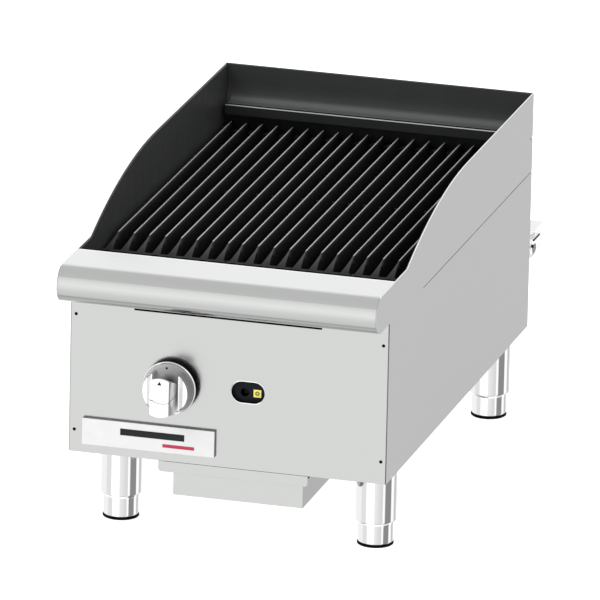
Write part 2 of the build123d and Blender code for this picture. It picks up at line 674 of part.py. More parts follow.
def knob_skirt():
    """Round skirt behind the grip, with a bevelled rim and a short hub."""
    bevel = 1.2
    disc = rod_y(KNOB_X, (SKIRT_FRONT_Y, SKIRT_REAR_Y), KNOB_Z, SKIRT_RADIUS)
    disc = chamfer(disc.edges().sort_by(Axis.Y)[0], bevel)
    return disc - rod_y(KNOB_X, (SKIRT_FRONT_Y - 1, SKIRT_REAR_Y + 1), KNOB_Z, STEM_RADIUS)


def knob_grip():
    """Grip: a tall bar between two flat lobes, joined at the back by a low web."""
    y_rear = SKIRT_FRONT_Y
    web_front = y_rear - 3
    bar_side = Polygon((y_rear, -LOBE_RADIUS), (LOBE_FRONT_Y - 6, -LOBE_RADIUS), (GRIP_FRONT_Y, -5.3),
                       (GRIP_FRONT_Y, GRIP_TOP - 1), (GRIP_FRONT_Y + 2, GRIP_TOP), (y_rear, GRIP_TOP - 13),
                       align=None)
    bar = side_extrusion(Pos(0, KNOB_Z) * bar_side, KNOB_X - GRIP_WIDTH / 2, GRIP_WIDTH)
    bar &= rod_y(KNOB_X, (GRIP_FRONT_Y - 1, y_rear), KNOB_Z, LOBE_RADIUS)
    for side in (-1, 1):
        scoop = rod_z(KNOB_X + side * (GRIP_WIDTH / 2 + 38.5), (LOBE_FRONT_Y + GRIP_FRONT_Y) / 2,
                      (KNOB_Z - 30, KNOB_Z + 30), 40)
        bar -= scoop & block((KNOB_X - 30, KNOB_X + 30), (GRIP_FRONT_Y - 1, LOBE_FRONT_Y), (0, 200))
    lobes = rod_y(KNOB_X, (LOBE_FRONT_Y, y_rear), KNOB_Z, LOBE_RADIUS)
    between = (KNOB_X - LOBE_INNER_X, KNOB_X + LOBE_INNER_X)
    lobes -= block(between, (LOBE_FRONT_Y - 1, web_front), (KNOB_Z - 40, KNOB_Z + 40))
    lobes -= block(between, (web_front - 1, y_rear + 1), (KNOB_Z + 10, KNOB_Z + 40))
    grip = lobes + bar
    return grip - rod_y(KNOB_X, (LOBE_FRONT_Y + 3, y_rear + 1), KNOB_Z, STEM_RADIUS)


def knob_marks():
    """Small black triangle on the grip and dot on the skirt."""
    triangle = front_extrusion(Pos(KNOB_X, KNOB_Z + 17.2) * RegularPolygon(3.0, 3, rotation=90),
                               GRIP_FRONT_Y - 0.3, GRIP_FRONT_Y)
    dot = rod_y(KNOB_X - 3, (SKIRT_FRONT_Y - 0.3, SKIRT_FRONT_Y), KNOB_Z + 25.2, 1.2)
    return [triangle, dot]


def pilot_valve():
    """Small brass valve for the pilot flame, behind the window."""
    x = PILOT_X
    front = MANIFOLD_Y - 8
    body = block((x - 8, x + 8), (front, MANIFOLD_Y + 8), (MANIFOLD_Z + 19, WINDOW_Z + 8))
    body += rod_z(x, MANIFOLD_Y, (MANIFOLD_Z + 11, MANIFOLD_Z + 19), 3.95)
    return body - rod_y(x, (front - 1, front + 5), PILOT_SCREW_Z, PILOT_SCREW_RADIUS + RUNNING_FIT)


def pilot_screw():
    """Slotted adjusting screw of the pilot valve, reached through the window."""
    head_y = (12, MANIFOLD_Y - 8.3)
    screw = rod_y(PILOT_X, head_y, PILOT_SCREW_Z, 3)
    screw += rod_y(PILOT_X, (head_y[1], MANIFOLD_Y - 4), PILOT_SCREW_Z, PILOT_SCREW_RADIUS)
    return screw - block((PILOT_X - 4, PILOT_X + 4), (11, 13.5), (PILOT_SCREW_Z - 0.5, PILOT_SCREW_Z + 0.5))


def pilot_shield():
    """Dark plate close behind the window, which holds the small yellow tag."""
    half = 27.0
    plate = block((WINDOW_X - half, WINDOW_X + half), (6, 7), (WINDOW_Z - 20, WINDOW_Z + 20))
    plate += block((WINDOW_X - half, WINDOW_X + half), (1.3, 7), (WINDOW_Z + 19, WINDOW_Z + 20))
    return plate - rod_y(PILOT_X, (5, 8), PILOT_SCREW_Z, 5)


def pilot_tag():
    """Small yellow tag on the shield."""
    x = WINDOW_X + 9.6
    z = WINDOW_Z - 2.0
    return block((x - 4.6, x + 4.6), (5.5, 6), (z - 4.6, z + 4.6))


def pilot_tube():
    """Thin tube from the pilot valve to the pilot burner."""
    x = PILOT_X
    z = WINDOW_Z
    y = (MANIFOLD_Y + 8, PILOT_Y)
    return rod_y(x, y, z, 3.0) - rod_y(x, (y[0] - 1, y[1] + 1), z, 1.9)


def pilot_burner():
    """Pilot head beside the burner."""
    head = block((PILOT_X - 6, PILOT_X + 6), (PILOT_Y, PILOT_Y + 16), (WINDOW_Z - 6, WINDOW_Z + 6))
    return head + rod_z(PILOT_X, PILOT_Y + 12, (WINDOW_Z + 6, WINDOW_Z + 16), 4)


# ---------------------------------------------------------------- grease tray
def drip_tray():
    """Open pan with side flanges that ride on the rails."""
    wall = 1.5
    x = (TRAY_X - TRAY_WIDTH / 2, TRAY_X + TRAY_WIDTH / 2)
    pan = block(x, (TRAY_BOX_FRONT_Y, TRAY_REAR_Y), (TRAY_LOW_Z, TRAY_FLANGE_Z))
    pan -= block((x[0] + wall, x[1] - wall), (TRAY_BOX_FRONT_Y + wall, TRAY_REAR_Y - wall),
                 (TRAY_LOW_Z + wall, 0))
    for side in (-1, 1):
        edge = TRAY_X + side * TRAY_WIDTH / 2
        outer = TRAY_X + side * TRAY_LIP_WIDTH / 2
        pan += block((edge, outer), (TRAY_BOX_FRONT_Y, TRAY_REAR_Y), (TRAY_FLANGE_Z - wall, TRAY_FLANGE_Z))
    return pan


def drip_tray_lip():
    """Front face of the tray, with rounded lower corners, used to pull it out."""
    wall = 1.5
    half = TRAY_LIP_WIDTH / 2
    face = block((TRAY_X - half, TRAY_X + half), (0, wall), (TRAY_LIP_LOW_Z, TRAY_LIP_HIGH_Z))
    low_corners = face.edges().filter_by(Axis.Y).group_by(Axis.Z)[0]
    face = fillet(low_corners, 4)
    shelf = block((TRAY_X - half + 1, TRAY_X + half - 1), (wall, TRAY_BOX_FRONT_Y - 0.05),
                  (TRAY_FLANGE_Z - wall, TRAY_FLANGE_Z))
    return face + shelf


def tray_rail(side):
    """Bent rail under the body that carries one flange of the tray."""
    outer = TRAY_X * side + TRAY_LIP_WIDTH / 2
    y = (34, TRAY_REAR_Y + 6)
    web_x = outer + 0.8
    leg_top = TRAY_FLANGE_Z - 1.5 - 0.3
    rail = block((outer - 9, web_x + SHEET), y, (leg_top - SHEET, leg_top))
    rail += block((web_x, web_x + SHEET), y, (leg_top - SHEET, 0))
    rail += block((web_x, web_x + 14), y, (-SHEET, 0))
    return mirrored(rail, side)


# ---------------------------------------------------------------- legs
def leg_plate(x, y):
    """Square plate welded on top of a leg and bolted to the body."""
    half = 31.0
    side = 1 if x > 0 else -1
    x_out = side * (INNER_X - 6)
    plate = block((x - side * half, x_out), (y - half, y + half), (-3, 0))
    for dx in LEG_BOLT_OFFSETS:
        for dy in LEG_BOLT_OFFSETS:
            plate -= rod_z(x + dx, y + dy, (-4, 1), 3.2)
    return plate


def leg_bolts(x, y):
    """Four hexagon bolts through one leg's plate."""
    bolts = []
    for dx in LEG_BOLT_OFFSETS:
        for dy in LEG_BOLT_OFFSETS:
            head = Pos(x + dx, y + dy, -7) * extrude(RegularPolygon(5.5, 6), amount=4)
            shank = rod_z(x + dx, y + dy, (-3, -0.2), 3.0)
            bolts.append(head + shank)
    return bolts


def leg_tube(x, y):
    """Chrome leg tube with a threaded bush in its lower end."""
    low = -LEG_TUBE_LENGTH
    tube = rod_z(x, y, (low, -3), LEG_RADIUS)
    tube = fillet(tube.edges().sort_by(Axis.Z)[0], 2.5)
    return tube - rod_z(x, y, (low - 1, low + 42), 6.0 + RUNNING_FIT)


def foot(x, y):
    """Adjustable foot: turned cup with a threaded stud up into the leg."""
    top = -LEG_TUBE_LENGTH
    low = -LEG_HEIGHT + FOOT_PAD
    cup = rod_z(x, y, (low, top - 2.2), FOOT_RADIUS)
    cup = fillet(cup.edges().sort_by(Axis.Z)[-1], 1.5)
    cup += rod_z(x, y, (top - 2.2, top), 15.0)
    return cup + rod_z(x, y, (top, top + 38), 6.0)


def foot_pad(x, y):
    """Rubber pad under the foot."""
    return rod_z(x, y, (-LEG_HEIGHT, -LEG_HEIGHT + FOOT_PAD), FOOT_RADIUS + 0.6)


# ---------------------------------------------------------------- write every node
os.makedirs("parts", exist_ok=True)

for side_name, side in SIDES:
    put(side_name + "_side_panel", mirrored(side_panel(), side))
    put(side_name + "_splash_liner", mirrored(splash_liner(), side))
    put(side_name + "_grease_chute", grease_chute(side))
    put(side_name + "_tray_rail", tray_rail(side))
put("back_panel", back_panel())
put("back_splash_liner", back_splash_liner())
put("rear_ledge", rear_ledge())
put("front_panel", front_panel())
put("front_panel_screws", *front_panel_screws())
put("front_shelf", front_shelf())
put("nameplate", nameplate())
put("nameplate_stripes", *nameplate_stripes())
put("bottom_pan", bottom_pan())
put("firebox_front_wall", firebox_front_wall())
put("firebox_rear_wall", firebox_rear_wall())

put("burner", burner())
put("burner_brackets", burner_bracket(150), burner_bracket(430))
put("radiants", radiant(KNOB_X), radiant(-KNOB_X))
put("radiant_rails", radiant_rail(RADIANT_FRONT_Y), radiant_rail(RADIANT_FRONT_Y + RADIANT_LENGTH - 16))

for grate_name, casting in grates():
    put(grate_name, casting)

put("manifold_pipe", manifold_pipe())
put("manifold_cap", manifold_cap())
put("pipe_elbows", front_elbows(), rear_elbows())
put("supply_pipe", supply_pipe())
put("inlet_nipple", inlet_nipple())
put("regulator_body", regulator_body())
put("regulator_bonnet", regulator_bonnet())
put("regulator_cap", regulator_cap())
put("valve_body", valve_body())
put("burner_orifice", burner_orifice())
put("air_shutter", air_shutter())
put("valve_stem", valve_stem())
put("knob_skirt", knob_skirt())
put("knob_grip", knob_grip())
put("knob_marks", *knob_marks())
put("pilot_valve", pilot_valve())
put("pilot_screw", pilot_screw())
put("pilot_shield", pilot_shield())
put("pilot_tag", pilot_tag())
put("pilot_tube", pilot_tube())
put("pilot_burner", pilot_burner())

put("drip_tray", drip_tray())
put("drip_tray_lip", drip_tray_lip())

leg_positions = [(end, side_name, LEG_CENTRE_X + side * LEG_X, y)
                 for end, y in ENDS for side_name, side in SIDES]
for end, side_name, x, y in leg_positions:
    put("foot_" + end + "_" + side_name, foot(x, y))
put("leg_tubes", *[leg_tube(x, y) for end, side_name, x, y in leg_positions])
put("leg_plates", *[leg_plate(x, y) for end, side_name, x, y in leg_positions])
put("leg_bolts", *[bolt for end, side_name, x, y in leg_positions for bolt in leg_bolts(x, y)])
for end, side_name, x, y in leg_positions:
    put("foot_pad_" + end + "_" + side_name, foot_pad(x, y))
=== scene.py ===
import json
import math

import bmesh
import bpy
from mathutils import Matrix, Vector


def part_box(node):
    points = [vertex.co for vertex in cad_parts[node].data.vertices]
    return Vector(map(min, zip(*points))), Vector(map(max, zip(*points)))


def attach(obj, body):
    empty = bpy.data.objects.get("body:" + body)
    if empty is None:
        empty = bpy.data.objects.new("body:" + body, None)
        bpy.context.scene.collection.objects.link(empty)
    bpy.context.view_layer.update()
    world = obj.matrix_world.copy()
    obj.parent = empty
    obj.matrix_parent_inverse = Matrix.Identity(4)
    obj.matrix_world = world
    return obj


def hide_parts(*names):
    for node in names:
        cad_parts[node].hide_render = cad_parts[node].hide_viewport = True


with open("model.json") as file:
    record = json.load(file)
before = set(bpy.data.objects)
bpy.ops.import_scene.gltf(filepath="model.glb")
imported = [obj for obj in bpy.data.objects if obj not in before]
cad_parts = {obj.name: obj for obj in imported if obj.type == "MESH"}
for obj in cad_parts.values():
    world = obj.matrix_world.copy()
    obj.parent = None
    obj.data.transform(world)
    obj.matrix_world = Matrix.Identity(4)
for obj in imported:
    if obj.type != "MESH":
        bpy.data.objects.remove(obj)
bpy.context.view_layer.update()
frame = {"nodes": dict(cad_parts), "record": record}

# ------------------------------------------------------------------ body coordinates
# Sizes are in millimetres, in the body's own coordinates: X across, Y = 0 on the front
# panel's outer face, Z = 0 on the body's bottom edge. at() turns them into the frame's metres.
MM = 0.001
FACE_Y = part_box("front_panel")[0].y
BOTTOM_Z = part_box("front_panel")[0].z


def at(x, y, z):
    """A point of the body's coordinates, in the frame's metres."""
    return Vector((x * MM, FACE_Y + y * MM, BOTTOM_Z + z * MM))


def span(node):
    """Lowest and highest corner of a CAD node in the body's millimetres."""
    shift = Vector((0, FACE_Y, BOTTOM_Z))
    return [(corner - shift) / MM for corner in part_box(node)]


def bodies_of_nodes():
    """Body name of each CAD node."""
    groups = frame["record"]["behaviour"]["bodies"]
    return {node: body for body, nodes in groups.items() for node in nodes}


BODY_OF = bodies_of_nodes()
SLOT_OF = {part["node"]: part["material_slot"] for part in frame["record"]["subparts"]}


# ------------------------------------------------------------------ materials
def math_node(tree, kind, first, second=None):
    """Result of a math node over sockets or numbers."""
    made = tree.nodes.new("ShaderNodeMath")
    made.operation = kind
    for slot, value in enumerate((first, second)):
        if isinstance(value, (int, float)):
            made.inputs[slot].default_value = value
        elif value is not None:
            tree.links.new(value, made.inputs[slot])
    return made.outputs[0]


class Finish:
    """A Principled material with helpers for its procedural detail."""

    def __init__(self, name, color, roughness, metallic=0.0, specular=0.5):
        self.material = bpy.data.materials.new(name)
        self.material.use_nodes = True
        self.tree = self.material.node_tree
        self.shader = self.tree.nodes["Principled BSDF"]
        self.shader.inputs["Base Color"].default_value = (*color, 1)
        self.shader.inputs["Roughness"].default_value = roughness
        self.shader.inputs["Metallic"].default_value = metallic
        self.shader.inputs["Specular IOR Level"].default_value = specular
        self.coords = self.node("ShaderNodeTexCoord").outputs["Object"]

    def node(self, kind, **values):
        """New node of a kind, with its properties set."""
        made = self.tree.nodes.new(kind)
        for key, value in values.items():
            setattr(made, key, value)
        return made

    def link(self, output, target):
        """Join an output socket to an input socket."""
        self.tree.links.new(output, target)

    def noise(self, scale, stretch=(1, 1, 1), detail=3.0):
        """Noise over the object's metres, with scale in features per metre."""
        mapping = self.node("ShaderNodeMapping")
        mapping.inputs["Scale"].default_value = stretch
        self.link(self.coords, mapping.inputs["Vector"])
        noise = self.node("ShaderNodeTexNoise")
        noise.inputs["Scale"].default_value = scale
        noise.inputs["Detail"].default_value = detail
        self.link(mapping.outputs["Vector"], noise.inputs["Vector"])
        return noise.outputs["Fac"]

    def between(self, factor, low, high, fac_low=0.3, fac_high=0.7):
        """A number that goes from low to high as the factor crosses its range."""
        ramp = self.node("ShaderNodeMapRange")
        ramp.inputs["From Min"].default_value = fac_low
        ramp.inputs["From Max"].default_value = fac_high
        ramp.inputs["To Min"].default_value = low
        ramp.inputs["To Max"].default_value = high
        self.link(factor, ramp.inputs["Value"])
        return ramp.outputs["Result"]

    def math(self, kind, first, second=None):
        """Result of a math node in this material."""
        return math_node(self.tree, kind, first, second)

    def place(self):
        """X, Y and Z outputs of the object's coordinates."""
        split = self.node("ShaderNodeSeparateXYZ")
        self.link(self.coords, split.inputs["Vector"])
        return split.outputs

    def mix_color(self, factor, first, second):
        """Blend of two plain colours, from the first to the second."""
        mix = self.node("ShaderNodeMix", data_type="RGBA")
        self.link(factor, mix.inputs["Factor"])
        mix.inputs[6].default_value = (*first, 1)
        mix.inputs[7].default_value = (*second, 1)
        return mix.outputs[2]

    def over(self, factor, base, color):
        """A plain colour laid over another colour output."""
        mix = self.node("ShaderNodeMix", data_type="RGBA")
        self.link(factor, mix.inputs["Factor"])
        self.link(base, mix.inputs[6])
        mix.inputs[7].default_value = (*color, 1)
        return mix.outputs[2]

    def bump(self, factor, height, strength):
        """Relief from a factor, over any relief that is there already."""
        bump = self.node("ShaderNodeBump")
        bump.inputs["Strength"].default_value = strength
        bump.inputs["Distance"].default_value = height
        self.link(factor, bump.inputs["Height"])
        previous = self.shader.inputs["Normal"]
        if previous.is_linked:
            self.link(previous.links[0].from_socket, bump.inputs["Normal"])
        self.link(bump.outputs["Normal"], previous)

    def color(self, output):
        """Drive the base colour."""
        self.link(output, self.shader.inputs["Base Color"])

    def roughness(self, output):
        """Drive the roughness."""
        self.link(output, self.shader.inputs["Roughness"])


def brushed_steel(name, grain, color=(0.557, 0.566, 0.557), roughness=0.22, metallic=1.0):
    """Stainless sheet with fine brush lines along one axis."""
    finish = Finish(name, color, roughness, metallic)
    across = [1.0 if axis == grain else 30.0 for axis in "xyz"]
    lines = finish.noise(22, across, detail=2)
    dark = tuple(channel * 0.97 for channel in color)
    finish.color(finish.mix_color(lines, dark, tuple(channel * 1.02 for channel in color)))
    finish.roughness(finish.between(lines, roughness - 0.012, roughness + 0.012))
    return finish.material


def enamel(name, color=(0.034, 0.036, 0.035), painted_light_and_shade_heights=None, specular=0.45):
    """Black heat-resistant enamel with a slight orange peel.

    painted_light_and_shade_heights holds three heights in metres: painted light makes the enamel palest at
    the first, and it has its own colour from the second up; below the third it is painted black as shade.
    """
    finish = Finish(name, color, 0.38, specular=specular)
    tone = finish.mix_color(finish.noise(24, detail=4), color, tuple(c * 1.35 for c in color))
    if painted_light_and_shade_heights:
        palest, plain, black = painted_light_and_shade_heights
        height = finish.place()["Z"]
        # Painted light: the enamel is paler low down and fades to its own colour going up.
        fade = finish.between(height, 1.0, 0.0, palest, plain)
        fade = finish.math("MULTIPLY", fade, fade)
        tone = finish.over(fade, tone, (0.098, 0.102, 0.1))
        # Painted shade: black below the last height.
        shaded = finish.math("LESS_THAN", height, black)
        tone = finish.over(shaded, tone, (0.005, 0.005, 0.005))
    finish.color(tone)
    finish.roughness(finish.between(finish.noise(60), 0.34, 0.44))
    finish.bump(finish.noise(900, detail=2), 0.00003, 0.25)
    return finish.material


def cast_iron(name, rib_tops_z):
    """Seasoned cast iron: grainy and black; faces turned up near the tops, as on the noses, are painted
    paler as the light that falls on them, and the tops are scraped bright, wear that also serves as a
    painted highlight.
    """
    finish = Finish(name, (0.004, 0.004, 0.004), 0.8, specular=0.05)
    height = finish.place()["Z"]
    # Scraped tops: wear, and also the tops' painted highlight.
    scraped_and_highlight = finish.between(height, 0.0, 1.0, rib_tops_z - 0.0007, rib_tops_z - 0.0003)
    facing = finish.node("ShaderNodeNewGeometry")
    normal = finish.node("ShaderNodeSeparateXYZ")
    finish.link(facing.outputs["Normal"], normal.inputs["Vector"])
    # Painted light: faces that turn upward near the tops are paler.
    upward = finish.between(normal.outputs["Z"], 0.0, 1.0, 0.35, 0.8)
    risen = finish.between(height, 0.05, 0.17, rib_tops_z - 0.0095, rib_tops_z - 0.001)
    wear_and_painted_light = finish.math("MAXIMUM", scraped_and_highlight, finish.math("MULTIPLY", upward, risen))
    grain = finish.noise(700, detail=5)
    patchy = finish.math("MULTIPLY", wear_and_painted_light, finish.between(grain, 0.7, 1.15))
    speckle = finish.between(finish.noise(800, detail=1), 0.0, 1.0, 0.42, 0.62)
    black = finish.mix_color(speckle, (0.002, 0.002, 0.002), (0.013, 0.013, 0.013))
    finish.color(finish.over(patchy, black, (0.50, 0.50, 0.50)))
    finish.roughness(finish.between(grain, 0.7, 0.9))
    finish.bump(grain, 0.00015, 0.6)
    return finish.material


def chrome(name, color=(0.93, 0.93, 0.93), roughness=0.06):
    """Bright plating with faint polishing marks."""
    finish = Finish(name, color, roughness, metallic=1.0)
    finish.roughness(finish.between(finish.noise(90, (1, 1, 6)), roughness * 0.7, roughness * 1.4))
    finish.bump(finish.noise(160, (1, 1, 3)), 0.000004, 0.3)
    return finish.material


def cast_metal(name, color, roughness, grain=1100):
    """Die-cast or machined metal with a fine grain."""
    finish = Finish(name, color, roughness, metallic=1.0)
    speck = finish.noise(grain, detail=3)
    finish.color(finish.mix_color(speck, tuple(c * 0.86 for c in color), color))
    finish.roughness(finish.between(speck, roughness - 0.06, roughness + 0.08))
    finish.bump(speck, 0.00005, 0.4)
    return finish.material


def galvanised(name):
    """Aluminised sheet with a soft spangle."""
    finish = Finish(name, (0.55, 0.56, 0.57), 0.42, metallic=1.0)
    spangle = finish.node("ShaderNodeTexVoronoi")
    spangle.inputs["Scale"].default_value = 160
    finish.link(finish.coords, spangle.inputs["Vector"])
    finish.color(finish.mix_color(spangle.outputs["Distance"], (0.50, 0.51, 0.52), (0.62, 0.63, 0.64)))
    finish.roughness(finish.between(finish.noise(120), 0.36, 0.5))
    return finish.material


def painted(name, color, roughness=0.5, grain=500, depth=0.00004, specular=0.4):
    """Paint, rubber or plastic with a fine texture and slight tone variation."""
    finish = Finish(name, color, roughness, specular=specular)
    speck = finish.noise(grain, detail=3)
    finish.color(finish.mix_color(speck, tuple(c * 0.88 for c in color), color))
    finish.roughness(finish.between(speck, roughness - 0.05, roughness + 0.08))
    finish.bump(speck, depth, 0.4)
    return finish.material


def knob_disc(name, x_low, x_high):
    """Satin grey of the knob's skirt with painted shade: darker towards the right, and a painted shadow
    near the grip's middle.
    """
    finish = Finish(name, (0.35, 0.35, 0.35), 0.45, specular=0.3)
    place = finish.place()
    # Painted shade: darker towards the right.
    across = finish.between(place["X"], 0.0, 1.0, x_low, x_high)
    tone = finish.mix_color(across, (0.52, 0.51, 0.51), (0.20, 0.20, 0.20))
    # Painted shadow: dark round a point just above the grip's middle.
    aside = finish.math("SUBTRACT", place["X"], at(KNOB_X + 1.0, 0, 0).x)
    above = finish.math("SUBTRACT", place["Z"], at(0, 0, KNOB_Z + 8.0).z)
    aside_squared = finish.math("MULTIPLY", aside, aside)
    above_squared = finish.math("MULTIPLY", above, above)
    apart = finish.math("SQRT", finish.math("ADD", aside_squared, above_squared))
    shade = finish.between(apart, 1.0, 0.0, 0.002, 0.0115)
    finish.color(finish.over(shade, tone, (0.05, 0.05, 0.05)))
    finish.roughness(finish.between(finish.noise(400), 0.4, 0.5))
    return finish.material


def knob_flank(name, centre, half_depth, half_height):
    """Flank of the knob's bar: a pale pointed lens, painted as a highlight, within darker borders painted
    as shade.
    """
    finish = Finish(name, (0.5, 0.5, 0.5), 0.4, specular=0.3)
    place = finish.place()
    # Painted highlight: the pale lens; painted shade: borders darker towards the front.
    depth = finish.math("ABSOLUTE", finish.math("SUBTRACT", place["Y"], centre.y))
    rise = finish.math("DIVIDE", finish.math("SUBTRACT", place["Z"], centre.z), half_height * MM)
    reach = finish.math("SUBTRACT", 1.0, finish.math("MULTIPLY", rise, rise))
    edge = finish.math("SUBTRACT", depth, finish.math("MULTIPLY", reach, half_depth * MM))
    lens = finish.between(edge, 1.0, 0.0, -0.0012, 0.0006)
    inward = finish.between(place["Y"], 0.0, 1.0, at(0, -42, 0).y, at(0, -22, 0).y)
    shade_border = finish.mix_color(inward, (0.27, 0.27, 0.27), (0.80, 0.80, 0.80))
    finish.color(finish.over(lens, shade_border, (0.74, 0.74, 0.74)))
    finish.roughness(finish.between(finish.noise(400), 0.35, 0.45))
    return finish.material


RIB_TOP_Z = span("left_grate")[1].z
KNOB_LOW, KNOB_HIGH = span("knob_skirt")
KNOB_X = (KNOB_LOW.x + KNOB_HIGH.x) / 2
KNOB_Z = (KNOB_LOW.z + KNOB_HIGH.z) / 2

# Heights of the light and shade painted on the splash enamel.
PAINTED_LIGHT_PALEST_Z = 246.0
PAINTED_LIGHT_END_Z = 273.0
PAINTED_SHADE_BELOW_Z = span("rear_ledge")[0].z + 3
PAINTED_LIGHT_AND_SHADE_HEIGHTS = [at(0, 0, height).z for height in (PAINTED_LIGHT_PALEST_Z, PAINTED_LIGHT_END_Z, PAINTED_SHADE_BELOW_Z)]

STEEL_ACROSS = brushed_steel("stainless_brushed_across", "x")
# Painted shade: a darker, less metallic copy of the steel for the side panels.
STEEL_SIDE_PAINTED_SHADE = brushed_steel("stainless_brushed_along_painted_shade", "y", (0.41, 0.417, 0.41), 0.3, 0.4)
STEEL_NOSE = brushed_steel("stainless_brushed_nose", "x", roughness=0.11)
# Painted light: a paler, less metallic copy of the steel for the shelf's lit top.
STEEL_TOP_PAINTED_LIGHT = brushed_steel("stainless_brushed_top_painted_light", "x", (0.635, 0.645, 0.64), 0.3, 0.3)
STEEL_SHADE = brushed_steel("stainless_brushed_shade", "y", (0.46, 0.465, 0.46))
LINER = enamel("black_enamel")
# Splash enamel with painted light low down and painted shade under the ledge.
LINER_PAINTED_LIGHT_AND_SHADE = enamel("black_enamel_painted_light_and_shade", (0.025, 0.027, 0.026), PAINTED_LIGHT_AND_SHADE_HEIGHTS)
# Painted shade: darker enamel for the ledge's front face.
LINER_PAINTED_SHADE = enamel("black_enamel_shaded", (0.019, 0.0205, 0.020), specular=0.06)
# Painted shade: near-black enamel for the firebox walls and the pilot shield, which sit in deep shade.
FIREBOX_PAINTED_SHADE = enamel("firebox_painted_shade", (0.004, 0.004, 0.004), specular=0.04)
SHIELD_PAINTED_SHADE = enamel("shield_painted_shade", (0.0065, 0.0075, 0.0095), specular=0.08)
# Painted highlight: pale metal along the top of the ledge's bead.
BEAD_PAINTED_HIGHLIGHT = cast_metal("bead_painted_highlight", (0.50, 0.50, 0.50), 0.35)
IRON = cast_iron("cast_iron", at(0, 0, RIB_TOP_Z).z)
CHROME = chrome("chrome")
KNOB_METAL = chrome("knob_chrome", (0.98, 0.98, 0.98), 0.12)
# Painted reflection and highlight: grey and white paints in place of the chrome lobes' reflections.
KNOB_SLOPE_PAINTED_REFLECTION = painted("knob_slope_painted_reflection", (0.64, 0.64, 0.64), 0.3, 300, 0.000005)
KNOB_PAINTED_HIGHLIGHT = painted("knob_painted_highlight", (0.95, 0.95, 0.95), 0.3, 300, 0.000005)
# Painted shade on the skirt's face, the lobes' inner walls and the grip's webs.
KNOB_DISC_PAINTED_SHADE = knob_disc("knob_disc_painted_shade", at(KNOB_X - 30, 0, 0).x, at(KNOB_X + 30, 0, 0).x)
KNOB_FLANK_PAINTED_HIGHLIGHT_AND_SHADE = knob_flank("knob_flank_painted_highlight_and_shade", at(0, -35.0, KNOB_Z + 1.5), 10.0, 17.5)
# Painted shade: the skirt's back is black so that the panel beside the knob reflects a dark halo.
KNOB_BACK_PAINTED_SHADE = painted("knob_back_painted_shade", (0.008, 0.008, 0.008), specular=0.1)
PLATED = galvanised("galvanised")
PIPE = painted("black_iron_pipe", (0.035, 0.035, 0.037), 0.45, 300, 0.0001)
DIE_CAST = cast_metal("die_cast_aluminium", (0.80, 0.80, 0.81), 0.30)
# Painted highlight: white paint in place of the polished alloy's bright reflections.
ALLOY_PAINTED_HIGHLIGHT = painted("alloy_painted_white_highlight", (0.95, 0.95, 0.95), 0.3, 300, 0.00001)
BRASS = cast_metal("brass", (0.72, 0.55, 0.28), 0.28)
RUBBER = painted("rubber", (0.003, 0.003, 0.003), 0.8, specular=0.05)
# Painted highlight: white for sheet edges that catch the light.
EDGE_PAINTED_HIGHLIGHT = painted("edge_painted_highlight", (0.93, 0.93, 0.93), 0.3, 90, 0.000002)
PLATE_FACE = painted("plate_white", (0.63, 0.63, 0.63), 0.35, 60, 0.000005)
# Painted shade: grey for the nameplate's edges and the regulator's barrel band.
GREY_PAINTED_SHADE = painted("grey_painted_shade", (0.19, 0.195, 0.195), 0.5)
# Painted shade: the dark gap along the right panel's front edge.
SEAM_PAINTED_SHADE = painted("seam_shade", (0.085, 0.087, 0.087), 0.5)
MARK_DARK = painted("mark_dark", (0.012, 0.013, 0.015), 0.5, specular=0.2)
MARK_BROWN = painted("mark_brown", (0.22, 0.17, 0.02), 0.5)
# Painted shade: grey for the regulator's rounded edges.
ALLOY_EDGE_PAINTED_SHADE = painted("alloy_edge_shade", (0.42, 0.42, 0.43), 0.4)
MARK_RED = painted("mark_red", (0.42, 0.02, 0.06), 0.5)
TAG_YELLOW = painted("tag_yellow", (0.78, 0.70, 0.17), 0.45)

SLOT_MATERIAL = {
    "stainless": STEEL_ACROSS,
    "black_enamel": LINER,
    "galvanised": PLATED,
    "cast_iron": IRON,
    "chrome": CHROME,
    "rubber": RUBBER,
    "pipe_black": PIPE,
    "die_cast": DIE_CAST,
    "brass": BRASS,
    "plate_white": PLATE_FACE,
    "mark_dark": MARK_DARK,
    "tag_yellow": TAG_YELLOW,
}


# Nodes painted darker as the shade they sit in.
PAINTED_SHADE_NODES = {
    "pilot_shield": SHIELD_PAINTED_SHADE,
    "pilot_screw": SHIELD_PAINTED_SHADE,
    "firebox_rear_wall": FIREBOX_PAINTED_SHADE,
    "firebox_front_wall": FIREBOX_PAINTED_SHADE,
}


def dress_frame():
    """Give every CAD node the material of its slot; nodes that sit in deep shade get a darker enamel
    painted as that shade.
    """
    for node, piece in frame["nodes"].items():
        piece.data.materials.clear()
        piece.data.materials.append(SLOT_MATERIAL[SLOT_OF[node]])
    for node, material in PAINTED_SHADE_NODES.items():
        frame["nodes"][node].data.materials[0] = material


# ------------------------------------------------------------------ mesh helpers
SHARP_ANGLE = 32        # degrees: an edge that turns more than this stays sharp


def bevel_edges(piece, width, segments, angle):
    """Round the edges sharper than an angle in degrees, by a width in millimetres."""
    bevel = piece.modifiers.new("bevel", "BEVEL")
    bevel.width = width * MM
    bevel.segments = segments
    bevel.limit_method = "ANGLE"
    bevel.angle_limit = math.radians(angle)
    bevel.harden_normals = True


